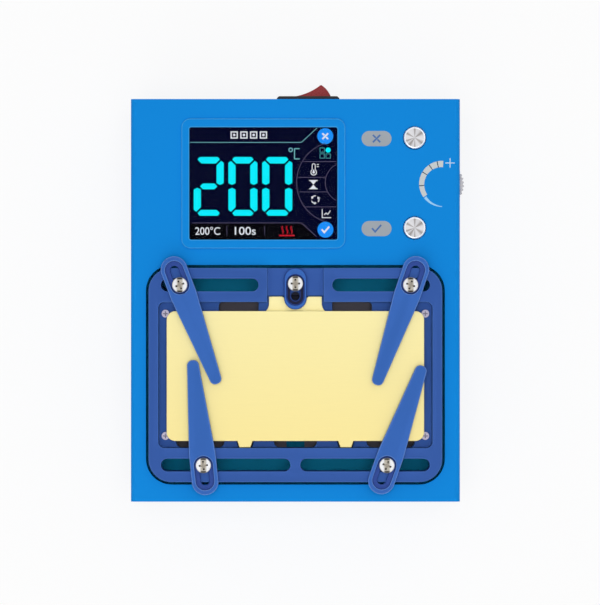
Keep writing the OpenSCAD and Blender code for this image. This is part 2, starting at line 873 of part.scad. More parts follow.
// Flange of the switch: its outer edges bevelled all round
module switch_flange_plate() {
    straight = switch_flange - switch_bevel;
    intersection() {
        translate([0, 0, -switch_h / 2]) linear_extrude(switch_h) polygon([
            [-switch_w / 2, 0], [switch_w / 2, 0], [switch_w / 2, straight],
            [switch_w / 2 - switch_bevel, switch_flange], [-switch_w / 2 + switch_bevel, switch_flange],
            [-switch_w / 2, straight]
        ]);
        translate([-switch_w / 2, 0, 0]) rotate([90, 0, 90]) linear_extrude(switch_w) polygon([
            [0, -switch_h / 2], [straight, -switch_h / 2], [switch_flange, -switch_h / 2 + switch_bevel],
            [switch_flange, switch_h / 2 - switch_bevel], [straight, switch_h / 2], [0, switch_h / 2]
        ]);
    }
}

module switch_housing() {
    color(black) at_home() translate([switch_x, half_d, switch_z]) difference() {
        union() {
            switch_flange_plate();
            translate([-switch_body_w / 2, -switch_body_l, -switch_body_h / 2])
                cube([switch_body_w, switch_body_l + switch_flange / 2, switch_body_h]);
        }
        translate([-mouth_w / 2, switch_flange - mouth_depth, -mouth_h / 2])
            cube([mouth_w, mouth_depth + cut, mouth_h]);
        translate([0, switch_pivot_y - half_d, -mouth_h / 2 - pivot_l])
            cylinder(d = pivot_d + 2 * run_gap, h = mouth_h + 2 * pivot_l);
    }
}

module power_rocker() {
    color([0.55, 0.14, 0.2]) at_home() translate([switch_x, switch_pivot_y, switch_z]) rotate(rocker_tilt) {
        difference() {
            cylinder(d = rocker_w, h = rocker_h, center = true);
            translate([-rocker_w, -rocker_w - rocker_back, -rocker_h])
                cube([2 * rocker_w, rocker_w, 2 * rocker_h]);
            translate([0, rocker_rise - rocker_dish + dish_r, 0])
                cylinder(r = dish_r, h = rocker_h + 2 * cut, center = true, $fn = 128);
        }
        cylinder(d = pivot_d, h = rocker_h + 2 * pivot_l, center = true);
    }
}

module switch_terminals() {
    color(steel) at_home() for (x = [-1, 1])
        translate([switch_x + x * terminal_x - terminal_t / 2, half_d - switch_body_l - terminal_l,
                   switch_z - terminal_w / 2])
            cube([terminal_t, terminal_l, terminal_w]);
}

// Outline of the inlet's socket: a rectangle with two cut corners
module socket_outline() {
    polygon([
        [-socket_w / 2, -socket_h / 2], [socket_w / 2, -socket_h / 2],
        [socket_w / 2, socket_h / 2 - socket_chamfer], [socket_w / 2 - socket_chamfer, socket_h / 2],
        [-socket_w / 2 + socket_chamfer, socket_h / 2], [-socket_w / 2, socket_h / 2 - socket_chamfer]
    ]);
}

module power_inlet() {
    color(black) at_home() translate([inlet_x, half_d, inlet_z]) difference() {
        union() {
            translate([-inlet_w / 2, -inlet_l, -inlet_h / 2]) cube([inlet_w, inlet_l, inlet_h]);
            translate([-inlet_w / 2 - inlet_flange, -sheet - inlet_flange_t, -inlet_h / 2])
                cube([inlet_w + 2 * inlet_flange, inlet_flange_t, inlet_h]);
        }
        translate([0, cut, 0]) rotate([90, 0, 0])
            linear_extrude(inlet_l - inlet_floor + cut) socket_outline();
    }
}

module inlet_pins() {
    places = [[-pin_x, -pin_z], [0, pin_z], [pin_x, -pin_z]];
    color(steel) at_home() for (p = places)
        translate([inlet_x + p.x - pin_w / 2, half_d - inlet_l, inlet_z + p.y - pin_h / 2]) {
            translate([0, inlet_floor, 0]) cube([pin_w, pin_l, pin_h]);
            translate([0, -terminal_l, 0]) cube([terminal_t, terminal_l, pin_h]);
        }
}

module power_board() {
    color(board_green) at_home() difference() {
        translate([-power_w / 2, power_front, z_power]) cube([power_w, power_rear - power_front, board_t]);
        for (p = power_places)
            translate([p.x, p.y, z_power - cut]) cylinder(d = board_hole_d, h = board_t + 2 * cut);
    }
}

module power_standoffs() {
    color([0.78, 0.63, 0.3]) at_home() for (p = power_places)
        translate([p.x, p.y, z_floor]) difference() {
            cylinder(d = power_standoff_d, h = power_rise);
            translate([0, 0, power_standoff_floor]) cylinder(d = board_hole_d, h = power_rise);
        }
}

module power_screws() {
    color(steel) at_home() for (p = power_places)
        translate([p.x, p.y, z_power_top])
            pan_screw(board_screw_d, board_screw_head, power_head_h, board_t + power_screw_end);
}

module transformer() {
    color([0.75, 0.65, 0.25]) at_home() translate([transformer_x, transformer_y, z_power_top]) {
        translate([-core_w / 2, -core_d / 2, 0]) cube([core_w, core_d, core_h]);
        translate([0, -core_d / 2 - winding_end, core_h / 2]) rotate([-90, 0, 0])
            cylinder(d = winding_d, h = core_d + 2 * winding_end);
    }
}

module filter_capacitor() {
    color([0.1, 0.15, 0.3]) at_home() translate([capacitor_x, capacitor_y, z_power_top])
        cylinder(d = capacitor_d, h = capacitor_h);
}

module triac_heatsink() {
    color([0.8, 0.8, 0.82]) at_home()
        translate([-power_w / 2 + sink_side, power_front + part_front, z_power_top]) {
            cube([fin_t + (fin_count - 1) * fin_pitch, sink_d, sink_base]);
            for (i = [0:fin_count - 1])
                translate([i * fin_pitch, 0, 0]) cube([fin_t, sink_d, fin_h]);
        }
}

module terminal_block() {
    color([0.1, 0.4, 0.25]) at_home()
        translate([power_w / 2 - block_side - block_ways * block_pitch,
                   power_front + part_front, z_power_top])
            difference() {
                cube([block_ways * block_pitch, block_depth, block_top]);
                for (i = [0:block_ways - 1]) {
                    translate([(i + 0.5) * block_pitch, block_depth / 2, block_top - block_screw_depth])
                        cylinder(d = block_screw_d, h = block_screw_depth + cut);
                    translate([i * block_pitch + wire_wall, -cut, wire_floor])
                        cube([block_pitch - 2 * wire_wall, wire_depth + cut, wire_h]);
                }
            }
}

module fuse() {
    color([0.8, 0.85, 0.85]) at_home() translate([inlet_x, fuse_y, z_power_top]) {
        translate([-fuse_l / 2, 0, fuse_rise]) rotate([0, 90, 0]) cylinder(d = fuse_d, h = fuse_l);
        for (s = [-1, 1])
            translate([s * (fuse_l / 2 - fuse_clip_inset - fuse_clip / 2) - fuse_clip / 2, -fuse_d / 2, 0])
                cube([fuse_clip, fuse_d, fuse_rise]);
    }
}

module heat_shield() {
    out_w = shield_in_w + 2 * shield_t;
    out_d = shield_in_d + 2 * shield_t;
    out_r = shield_in_r + shield_t;
    color(case_blue) at_home() translate([0, stage_y, 0]) difference() {
        union() {
            translate([0, 0, z_shield]) round_plate(out_w, out_d, shield_h, out_r);
            translate([0, 0, z_under - shield_t])
                round_plate(out_w + 2 * shield_lip, out_d + 2 * shield_lip, shield_t, out_r + shield_lip);
        }
        translate([0, 0, z_shield_floor]) round_plate(shield_in_w, shield_in_d, shield_h, shield_in_r);
    }
}

module stage_standoffs() {
    color(steel) at_home() for (p = stage_places)
        translate([p.x, p.y, z_shield_floor]) difference() {
            cylinder(d = standoff_across / cos(30), h = z_frame - z_shield_floor, $fn = 6);
            translate([0, 0, z_frame - z_shield_floor - stage_screw_l])
                cylinder(d = stage_screw_d + 2 * bore_gap, h = stage_screw_l + cut);
        }
}

module stage_screws() {
    color(steel) at_home() for (p = stage_places)
        translate([p.x, p.y, z_pocket]) pan_screw(stage_screw_d, stage_head_d, stage_head_h, stage_screw_l);
}

// Outline of a front tab at its root line, with room at its sides and its end
module tab_outline(side_room, end_room) {
    tip = tab_l + end_room;
    half = tab_w / 2 + side_room;
    polygon([[-half, cut], [-half, 0], [-half + tab_taper, -tip],
             [half - tab_taper, -tip], [half, 0], [half, cut]]);
}

// Pocket floor windows, from the middle well out to the pocket wall
module floor_windows() {
    reach = (pocket_d - well_d) / 2 + 2 * well_r;
    y = (pocket_d - reach) / 2;
    for (s = [-1, 1]) {
        translate([s * (rear_window_inner + rear_window_w / 2), y]) {
            round_rect(rear_window_w, reach, rear_window_r);
            translate([s > 0 ? -rear_window_w / 2 : 0, -reach / 2]) square([rear_window_w / 2, reach]);
        }
        translate([s * front_window_x, -y]) round_rect(front_window_w, reach, front_window_r);
        translate([s * tab_x, plate_rear - plate_d]) {
            tab_outline(tab_gap, tab_end_gap);
            translate([-tab_w / 2 - tab_gap, 0]) square([tab_w + 2 * tab_gap, reach]);
        }
    }
    translate([0, -y]) round_rect(2 * middle_window, reach, front_window_r);
}

module clamp_slots() {
    for (m = [0, 1])
        mirror([m, 0]) {
            translate([0, slot_y]) slot(rear_slot_inner + slot_w / 2, slot_end_x, slot_w);
            translate([0, -slot_y]) slot(front_slot_inner + slot_w / 2, slot_end_x, slot_w);
        }
}

module stage_frame() {
    channel_y = pocket_d / 2 + fork_recess;
    color(stage_blue) at_home() translate([0, stage_y, 0]) difference() {
        translate([0, 0, z_frame]) round_plate(frame_w, frame_d, frame_h, frame_r);
        translate([0, 0, z_pocket]) round_plate(pocket_w, pocket_d, pocket_h + cut, pocket_r);
        translate([0, 0, z_frame - cut]) linear_extrude(frame_h) {
            round_rect(well_w, well_d, well_r);
            floor_windows();
        }
        translate([0, 0, z_frame - cut]) linear_extrude(frame_h + 2 * cut) clamp_slots();
        translate([-channel_w / 2, pocket_d / 2 - cut, z_pocket])
            cube([channel_w, fork_recess + cut, pocket_h + cut]);
        translate([-channel_w / 2, channel_y - cut, z_channel])
            cube([channel_w, frame_d / 2 - channel_y + 2 * cut, channel_h + cut]);
        for (x = [-1, 1], y = [-1, 1])
            translate([x * stage_screw_x, y * stage_screw_y, z_frame - cut])
                cylinder(d = stage_screw_d + 2 * bore_gap, h = frame_h);
        translate([0, frame_d / 2 - lock_screw_inset, z_channel - lock_screw_l - lock_bore_end])
            cylinder(d = screw_d + 2 * bore_gap, h = frame_h);
    }
}

module heater_block() {
    color([0.8, 0.8, 0.8]) at_home() translate([0, stage_y, z_block]) difference() {
        translate([-block_w / 2, -block_d / 2, 0]) cube([block_w, block_d, block_h]);
        for (y = [-1, 1])
            translate([block_w / 2 - cartridge_l, y * cartridge_y, block_h / 2]) rotate([0, 90, 0])
                cylinder(d = cartridge_d + 2 * bore_gap, h = cartridge_l + cut);
        translate([block_w / 2 - probe_l, 0, block_h / 2]) rotate([0, 90, 0])
            cylinder(d = probe_d + 2 * bore_gap, h = probe_l + cut);
    }
}

module heater_cartridges() {
    color(steel) at_home() for (y = [-1, 1])
        translate([block_w / 2 - cartridge_l, stage_y + y * cartridge_y, z_block + block_h / 2])
            rotate([0, 90, 0]) cylinder(d = cartridge_d, h = cartridge_l);
}

module temperature_probe() {
    color(steel) at_home() translate([block_w / 2 - probe_l, stage_y, z_block + block_h / 2])
        rotate([0, 90, 0]) cylinder(d = probe_d, h = probe_l);
}

module insulation_sheet() {
    color([0.22, 0.21, 0.2]) at_home() translate([0, stage_y, z_insulation]) difference() {
        translate([-insulation_side, -insulation_front, 0])
            cube([2 * insulation_side, insulation_front + insulation_rear, insulation_t]);
        translate([-insulation_notch / 2, -insulation_front - cut, -cut])
            cube([insulation_notch, insulation_notch_d + cut, insulation_t + 2 * cut]);
    }
}

module insulator_posts() {
    color([0.92, 0.9, 0.85]) at_home() for (x = [-1, 1], y = [-1, 1])
        translate([x * post_x, stage_y + y * post_y, z_shield_floor])
            cylinder(d = post_d, h = z_insulation - z_shield_floor);
}

// Rear fork of the plate: two prongs on either side of the lock, which rests on the rim of the notch,
// with flared roots
module fork_outline() {
    notch_r = lock_w / 2 - fork_overlap;
    half = fork_w / 2;
    difference() {
        polygon([[-half, fork_end], [-half, plate_rear + fork_flare_l],
                 [-half - fork_flare_bend, plate_rear + fork_flare_l / 2], [-half - fork_flare, plate_rear],
                 [-half - fork_flare, plate_rear - fork_root], [half + fork_flare, plate_rear - fork_root],
                 [half + fork_flare, plate_rear], [half + fork_flare_bend, plate_rear + fork_flare_l / 2],
                 [half, plate_rear + fork_flare_l], [half, fork_end]]);
        translate([0, lock_front_y - stage_y]) rotate(90) slot(0, lock_l, 2 * notch_r);
        for (m = [0, 1])
            mirror([m, 0]) translate([-notch_r, fork_end]) corner_cut(fork_tip_r);
    }
}

module heat_plate() {
    color(gold) at_home() translate([0, stage_y, 0]) {
        translate([0, plate_shift, z_plate]) round_plate(plate_w, plate_d, plate_t, plate_r);
        translate([0, plate_rear - plate_d, z_plate]) linear_extrude(plate_t)
            for (s = [-1, 1])
                translate([s * tab_x, 0]) tab_outline(0, 0);
        translate([0, 0, z_fork]) linear_extrude(z_channel - z_fork) fork_outline();
        translate([-fork_w / 2, plate_rear - fork_root, z_fork])
            cube([fork_w, fork_root, z_plate - z_fork + plate_t / 2]);
    }
}

module plate_lock() {
    tail = lock_rear_y - lock_screw_y - lock_w / 2;
    color(arm_blue) at_home() translate([0, lock_screw_y, z_lock]) rotate(90) difference() {
        linear_extrude(lock_t) slot(tail - lock_l + lock_w, tail, lock_w);
        translate([0, 0, -cut]) linear_extrude(lock_t + 2 * cut)
            slot(-lock_travel - run_gap, run_gap, lock_slot_w);
        translate([0, 0, lock_step]) linear_extrude(lock_t)
            slot(-lock_travel - run_gap, run_gap, lock_counter_w);
    }
}

module plate_lock_screw() {
    color(steel) at_home() translate([0, lock_screw_y, z_lock + lock_step + slide_gap])
        pan_screw(screw_d, head_d, lock_head_h, lock_screw_l + lock_step + 2 * slide_gap);
}

// Outline of a clamp arm, screw at the origin and tip along +X: a round wide end with even sides up to the
// shoulder, then a taper to a tip with two round corners. The sides lie a hair inside the circles' tangents,
// so that they cross them
module arm_outline() {
    wide_r = arm_wide_d / 2;
    tip_r = arm_tip_d / 2;
    lean = atan((wide_r - tip_r) / (arm_l - arm_shoulder));
    corner_y = arm_tip_flat / 2;
    corner_r = (tip_r - corner_y) / (1 / cos(lean) - tan(lean));
    corner_x = arm_l - corner_r;
    wide_in = wide_r - side_inset;
    corner_in = corner_r - side_inset;
    side = [[-arm_tail, wide_in], [arm_shoulder, wide_in],
            [corner_x + corner_in * sin(lean), corner_y + corner_in * cos(lean)],
            [corner_x + corner_in, corner_y]];
    translate([-arm_tail, 0]) circle(wide_r);
    for (s = [-1, 1])
        translate([corner_x, s * corner_y]) circle(corner_r);
    polygon([for (p = side) [p[0], -p[1]], for (i = [len(side) - 1 : -1 : 0]) side[i]]);
}

module clamp_arm(c) {
    color(arm_blue) at_home() translate([c[1], c[2], z_arm]) rotate(c[3]) difference() {
        linear_extrude(arm_t) arm_outline();
        translate([0, 0, -cut]) linear_extrude(arm_t + 2 * cut) slot(-arm_travel, 0, arm_slot_w);
        translate([0, 0, arm_t - arm_step]) linear_extrude(arm_t) slot(-arm_travel, 0, arm_counter_w);
    }
}

module clamp_screw(c) {
    seat = z_arm + arm_t - arm_step + slide_gap;
    color(steel) at_home() translate([c[1], c[2], seat]) rotate(c[3])
        pan_screw(screw_d, head_d, arm_head_h, seat - z_nut + screw_tail);
}

// Slot nut: a square flange under the frame and a round neck in the slot
module clamp_nut(c) {
    color(steel) at_home() translate([c[1], c[2], z_nut]) difference() {
        union() {
            translate([-nut_flange / 2, -nut_flange / 2, 0]) cube([nut_flange, nut_flange, nut_flange_h]);
            cylinder(d = nut_neck_d, h = z_frame_top - slide_gap - z_nut);
        }
        translate([0, 0, -cut]) cylinder(d = screw_d + 2 * run_gap, h = frame_h + nut_flange_h + 2 * cut);
    }
}

top_cover();
base_tray();
cover_screws();
rubber_feet();
foot_screws();
display_bezel();
display_window();
display_module();
display_spacers();
control_board();
board_standoffs();
board_screws();
exit_button();
ok_button();
key_switches();
thumbwheel();
wheel_encoder();
switch_housing();
power_rocker();
switch_terminals();
power_inlet();
inlet_pins();
power_board();
power_standoffs();
power_screws();
transformer();
filter_capacitor();
triac_heatsink();
terminal_block();
fuse();
heat_shield();
stage_standoffs();
stage_screws();
stage_frame();
heater_block();
heater_cartridges();
temperature_probe();
insulation_sheet();
insulator_posts();
heat_plate();
plate_lock();
plate_lock_screw();
for (c = clamps) {
    clamp_arm(c);
    clamp_screw(c);
    clamp_nut(c);
}
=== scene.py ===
"""Looks of a benchtop circuit board preheater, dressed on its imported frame."""

import json
import math

import bmesh
import bpy
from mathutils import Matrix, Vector


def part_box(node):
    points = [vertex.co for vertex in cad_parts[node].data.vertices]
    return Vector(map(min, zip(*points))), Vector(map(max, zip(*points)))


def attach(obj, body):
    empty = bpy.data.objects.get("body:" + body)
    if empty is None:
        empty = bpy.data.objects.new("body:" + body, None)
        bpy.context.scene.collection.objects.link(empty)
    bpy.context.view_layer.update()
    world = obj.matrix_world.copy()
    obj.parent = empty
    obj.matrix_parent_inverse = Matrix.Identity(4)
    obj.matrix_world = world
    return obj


MM = 0.001

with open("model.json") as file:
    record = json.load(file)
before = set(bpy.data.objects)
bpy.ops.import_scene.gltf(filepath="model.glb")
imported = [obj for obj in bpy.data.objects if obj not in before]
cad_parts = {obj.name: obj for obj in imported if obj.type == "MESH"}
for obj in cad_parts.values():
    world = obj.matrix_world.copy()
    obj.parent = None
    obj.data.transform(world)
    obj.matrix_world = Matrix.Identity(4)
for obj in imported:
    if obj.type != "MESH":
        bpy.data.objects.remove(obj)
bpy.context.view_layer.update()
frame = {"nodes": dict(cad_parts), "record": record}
nodes = frame["nodes"]
case_mid = (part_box("top_cover")[0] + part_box("top_cover")[1]) / 2
cover_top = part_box("top_cover")[1].z


def middle(node):
    """Centre of a node's box."""
    low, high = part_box(node)
    return (low + high) / 2


# Colours and shader trees


def tint(red, green, blue):
    """Linear colour of a screen colour given from 0 to 255."""

    def channel(value):
        share = value / 255
        return share / 12.92 if share <= 0.04045 else ((share + 0.055) / 1.055) ** 2.4

    return (channel(red), channel(green), channel(blue), 1.0)


def shaded(colour, share):
    """The colour made darker (share under 1) or lighter (share over 1)."""
    return tuple(min(1.0, channel * share) for channel in colour[:3]) + (1.0,)


# Places of a mix node's share, two colours and result among its sockets
MIX_SHARE, MIX_FIRST, MIX_SECOND, MIX_RESULT = 0, 6, 7, 2


class Finish:
    """A material under construction: its node tree and its surface shader."""

    def __init__(self, name, **sockets):
        self.material = bpy.data.materials.new(name)
        self.material.use_nodes = True
        self.tree = self.material.node_tree
        self.surface = self.tree.nodes["Principled BSDF"]
        for socket, value in sockets.items():
            self.surface.inputs[socket.replace("_", " ")].default_value = value

    def add(self, kind, **sockets):
        made = self.tree.nodes.new(kind)
        for socket, value in sockets.items():
            made.inputs[socket.replace("_", " ")].default_value = value
        return made

    def link(self, out_socket, in_socket):
        self.tree.links.new(out_socket, in_socket)

    def noise(self, per_mm, detail=2.0, stretch=(1, 1, 1)):
        """Noise over the piece, with a number of grains per millimetre."""
        place = self.add("ShaderNodeTexCoord")
        spread = self.add("ShaderNodeMapping", Scale=stretch)
        grain = self.add("ShaderNodeTexNoise", Scale=per_mm / MM, Detail=detail)
        self.link(place.outputs["Object"], spread.inputs["Vector"])
        self.link(spread.outputs["Vector"], grain.inputs["Vector"])
        return grain.outputs["Fac"]

    def blend(self, share, first, second):
        """Colour between two colours, each a value or an output."""
        mix = self.add("ShaderNodeMix")
        mix.data_type = "RGBA"
        self.link(share, mix.inputs[MIX_SHARE])
        for socket, colour in ((mix.inputs[MIX_FIRST], first), (mix.inputs[MIX_SECOND], second)):
            if isinstance(colour, tuple):
                socket.default_value = colour
            else:
                self.link(colour, socket)
        return mix.outputs[MIX_RESULT]

    def mottled(self, pattern, colour, low, high):
        """Tone that goes with a pattern from a low to a high share of a colour."""
        return self.blend(pattern, shaded(colour, low), shaded(colour, high))

    def paint(self, tone):
        """Gives the surface its base colour."""
        self.link(tone, self.surface.inputs["Base Color"])

    def math(self, operation, first, second):
        """Sum, product or comparison of two values, each a number or an output."""
        made = self.add("ShaderNodeMath")
        made.operation = operation
        for socket, value in zip(made.inputs, (first, second)):
            if isinstance(value, (int, float)):
                socket.default_value = value
            else:
                self.link(value, socket)
        return made.outputs["Value"]

    def sunk_floor(self, height, lean=0.5):
        """Mask of the faces below a height whose normal leans up at least so far."""
        place = self.add("ShaderNodeTexCoord")
        split = self.add("ShaderNodeSeparateXYZ")
        facing = self.add("ShaderNodeNewGeometry")
        up = self.add("ShaderNodeSeparateXYZ")
        self.link(place.outputs["Object"], split.inputs["Vector"])
        self.link(facing.outputs["Normal"], up.inputs["Vector"])
        low = self.math("LESS_THAN", split.outputs["Z"], height)
        return self.math("MULTIPLY", low, self.math("GREATER_THAN", up.outputs["Z"], lean))

    def apart(self, point, near, far, along=(1, 1, 1)):
        """Share that grows from 0 to 1 between two distances from a point, in millimetres along some axes."""
        place = self.add("ShaderNodeTexCoord")
        offset = self.add("ShaderNodeVectorMath")
        offset.operation = "SUBTRACT"
        offset.inputs[1].default_value = point
        self.link(place.outputs["Object"], offset.inputs[0])
        kept = self.add("ShaderNodeVectorMath")
        kept.operation = "MULTIPLY"
        kept.inputs[1].default_value = along
        self.link(offset.outputs["Vector"], kept.inputs[0])
        away = self.add("ShaderNodeVectorMath")
        away.operation = "LENGTH"
        self.link(kept.outputs["Vector"], away.inputs[0])
        share = self.add("ShaderNodeMapRange", From_Min=near * MM, From_Max=far * MM)
        self.link(away.outputs["Value"], share.inputs["Value"])
        return share.outputs["Result"]

    def vary_roughness(self, pattern, low, high):
        """Roughness that goes with a pattern."""
        spread = self.add("ShaderNodeMapRange", To_Min=low, To_Max=high)
        self.link(pattern, spread.inputs["Value"])
        self.link(spread.outputs["Result"], self.surface.inputs["Roughness"])

    def bump(self, pattern, height, strength=0.5):
        """Relief of a pattern, with its height in millimetres."""
        relief = self.add("ShaderNodeBump", Strength=strength, Distance=height * MM)
        self.link(pattern, relief.inputs["Height"])
        self.link(relief.outputs["Normal"], self.surface.inputs["Normal"])


def powder_coat(name, colour):
    """Satin paint with a fine orange peel and slow shifts of tone."""
    made = Finish(name, IOR=1.42, Specular_IOR_Level=0.08)
    made.paint(made.mottled(made.noise(per_mm=0.03, detail=1.0), colour, low=0.97, high=1.03))
    peel = made.noise(per_mm=2.5, detail=3.0)
    made.vary_roughness(peel, low=0.36, high=0.5)
    made.bump(peel, height=0.012)
    return made.material


def anodised(name, colour, sunk_shade=None, sunk_below=0.0, lean=0.5, shade_spot=None):
    """Bead blasted, dyed aluminium, where asked with painted shade on faces sunk below a height and a spot of
    painted shade round a point.
    """
    made = Finish(name, Metallic=0.3, Specular_IOR_Level=0.25)
    tone = made.mottled(made.noise(per_mm=0.06), colour, low=0.94, high=1.06)
    # Painted shade on faces sunk below a height
    if sunk_shade:
        tone = made.blend(made.sunk_floor(sunk_below, lean), tone, sunk_shade)
    # Spot of painted shade round a point
    if shade_spot:
        tone = made.blend(made.apart(shade_spot, *SLOT_SHADE_REACH), PAINTED_SLOT_SHADE, tone)
    made.paint(tone)
    blast = made.noise(per_mm=5.0)
    made.vary_roughness(blast, low=0.42, high=0.58)
    made.bump(blast, height=0.006, strength=0.4)
    return made.material


def brushed(name, colour, metallic, roughness, stretch, lines=6.0, spread=0.05, front=None):
    """Metal with fine lines along the axis that is scaled down, and where asked another tone at the front."""
    made = Finish(name, Metallic=metallic)
    grain = made.noise(lines, detail=3.0, stretch=stretch)
    tone = made.mottled(grain, colour, 1 - spread, 1 + spread)
    if front:
        place = made.add("ShaderNodeTexCoord")
        split = made.add("ShaderNodeSeparateXYZ")
        made.link(place.outputs["Generated"], split.inputs["Vector"])
        front_tone = made.mottled(grain, front, 1 - spread, 1 + spread)
        tone = made.blend(split.outputs["Y"], front_tone, tone)
    made.paint(tone)
    made.vary_roughness(grain, low=roughness * 0.8, high=roughness * 1.2)
    made.bump(grain, height=0.004, strength=0.3)
    return made.material


def screw_head(name, top, rim, heart, recess, dark_shade):
    """Nickel plated head: a dull band of painted reflection with painted shade at its ends, painted shade on
    its outer edge, and painted shade in its cross recess, darkest at the recess's ends.
    """
    made = Finish(name, Metallic=1.0)
    grain = made.noise(per_mm=1.2, detail=3.0)
    tone = made.mottled(grain, rim, low=0.86, high=1.1)
    # Painted reflection: a dull band across the head, with painted shade at its ends
    reflection_strip = made.blend(made.apart(top, *REFLECTION_ENDS, along=(0, 1, 0)), heart, dark_shade)
    tone = made.blend(made.apart(top, *REFLECTION_REACH, along=(1, 0, 0)), reflection_strip, tone)
    # Painted shade on the head's outer edge
    tone = made.blend(made.apart(top, *SHADE_REACH), tone, shaded(rim, RIM_SHADE))
    # Painted shade in the cross recess, darkest at its ends
    recess_shade_tone = made.blend(made.apart(top, *RECESS_SHADE_REACH), recess, dark_shade)
    made.paint(made.blend(made.sunk_floor(top.z - RECESS_BELOW), tone, recess_shade_tone))
    made.vary_roughness(grain, low=0.18, high=0.4)
    made.bump(made.noise(per_mm=4.0), height=0.004, strength=0.3)
    return made.material


def small_head(name, top, colour, recess):
    """Dull head of a small screw, with painted shade in its cross recess."""
    made = Finish(name, Metallic=1.0)
    grain = made.noise(per_mm=1.2, detail=3.0)
    tone = made.mottled(grain, colour, low=0.86, high=1.1)
    # Painted shade in the cross recess
    made.paint(made.blend(made.sunk_floor(top.z - RECESS_BELOW), tone, recess))
    made.vary_roughness(grain, low=0.25, high=0.45)
    return made.material


def spun_metal(name, light, reflected_dark):
    """Turned aluminium face: circular lines that catch the light in sectors, and dark sectors of painted
    reflection in its colour.
    """
    made = Finish(name, Metallic=1.0, Roughness=0.3, Anisotropic=0.85)
    place = made.add("ShaderNodeTexCoord")
    centred = made.add("ShaderNodeMapping", Location=(-0.5, -0.5, 0))
    made.link(place.outputs["Generated"], centred.inputs["Vector"])
    turn = made.add("ShaderNodeTexGradient")
    turn.gradient_type = "RADIAL"
    made.link(centred.outputs["Vector"], turn.inputs["Vector"])
    sectors = made.add("ShaderNodeValToRGB")
    stops = sectors.color_ramp.elements
    stops[0].color = light
    stops[1].color = light
    # Painted reflection: dark sectors in the face's colour
    for share, half in REFLECTED_SECTORS:
        stops.new(share - half).color = light
        stops.new(share).color = reflected_dark
        stops.new(share + half).color = light
    made.link(turn.outputs["Fac"], sectors.inputs["Fac"])
    made.paint(sectors.outputs["Color"])
    tangent = made.add("ShaderNodeTangent")
    tangent.direction_type = "RADIAL"
    tangent.axis = "Z"
    made.link(tangent.outputs["Tangent"], made.surface.inputs["Tangent"])
    rings = made.add("ShaderNodeTexGradient")
    rings.gradient_type = "SPHERICAL"
    made.link(centred.outputs["Vector"], rings.inputs["Vector"])
    grooves = made.math("SINE", made.math("MULTIPLY", rings.outputs["Fac"], GROOVE_TURNS), 0.0)
    made.bump(grooves, height=0.003, strength=0.25)
    return made.material


def plastic(name, colour, roughness, grain=4.0, height=0.006):
    """Moulded plastic or rubber with a fine spark finish."""
    made = Finish(name, IOR=1.46, Specular_IOR_Level=0.3)
    spark = made.noise(grain)
    made.paint(made.mottled(made.noise(per_mm=0.15), colour, low=0.92, high=1.08))
    made.vary_roughness(spark, low=roughness * 0.85, high=min(1.0, roughness * 1.15))
    made.bump(spark, height, strength=0.4)
    return made.material


def circuit_board(name, mask, copper):
    """Solder mask with the faint relief of copper tracks under it."""
    made = Finish(name, Roughness=0.35)
    place = made.add("ShaderNodeTexCoord")
    tracks = made.add("ShaderNodeTexBrick", Scale=90.0, Mortar_Size=0.03)
    tracks.inputs["Color1"].default_value = mask
    tracks.inputs["Color2"].default_value = shaded(mask, 0.85)
    tracks.inputs["Mortar"].default_value = copper
    made.link(place.outputs["Object"], tracks.inputs["Vector"])
    made.paint(tracks.outputs["Color"])
    made.bump(tracks.outputs["Fac"], height=0.03, strength=0.3)
    return made.material


def clear(name, colour, ior):
    """Clear sheet or tube, with faint smears in its gloss."""
    made = Finish(name, IOR=ior, Base_Color=colour, Transmission_Weight=1.0)
    made.vary_roughness(made.noise(per_mm=0.08), low=0.0, high=0.02)
    return made.material


def screen_light(name, colour):
    """Lit area of the display, with the fine lines of its pixel rows."""
    made = Finish(name, Base_Color=(0, 0, 0, 1), Specular_IOR_Level=0.0, Emission_Strength=1.0)
    place = made.add("ShaderNodeTexCoord")
    rows = made.add("ShaderNodeTexWave", Scale=2000.0)
    rows.bands_direction = "Y"
    made.link(place.outputs["Object"], rows.inputs["Vector"])
    tone = made.mottled(rows.outputs["Fac"], colour, low=0.95, high=1.05)
    made.link(tone, made.surface.inputs["Emission Color"])
    return made.material


BLUE = tint(14, 137, 222)
# Painted highlight: lighter tone on the rounded edges of painted parts
PAINT_EDGE_HIGHLIGHT = tint(62, 160, 228)
SHIELD_TEAL = tint(0, 148, 192)
FRAME_BLUE = tint(47, 86, 160)
# Painted highlight: lighter tone on the rounded edges of the frame
FRAME_EDGE_HIGHLIGHT = tint(62, 102, 174)
ARM_BLUE = tint(49, 98, 177)
# Painted shade on the sunk faces of the arms and the lock
ARM_SUNK_SHADE = tint(42, 70, 144)
LOCK_SUNK_SHADE = tint(17, 22, 56)
# Painted shade round the floor under the lock's slot
PAINTED_SLOT_SHADE = tint(10, 12, 30)
# Painted highlight: lighter tone on the rounded edges of the arms
ARM_EDGE_HIGHLIGHT = tint(90, 128, 198)
GOLD = tint(248, 236, 171)
GOLD_FRONT = tint(246, 228, 152)
STEEL = tint(234, 235, 238)
# Painted highlight: lighter tone on the rounded edges of the buttons' caps
CAP_EDGE_HIGHLIGHT = tint(238, 243, 250)
STAGE_STEEL = tint(188, 182, 204)
# Screw heads: tan band of painted reflection, and painted shade in the recesses and at the band's ends
REFLECTED_TAN = tint(184, 178, 166)
RECESS_SHADE_TAN = tint(160, 153, 142)
RECESS_SHADE_PALE = tint(132, 128, 144)
PAINTED_DARK_SHADE = tint(44, 42, 42)

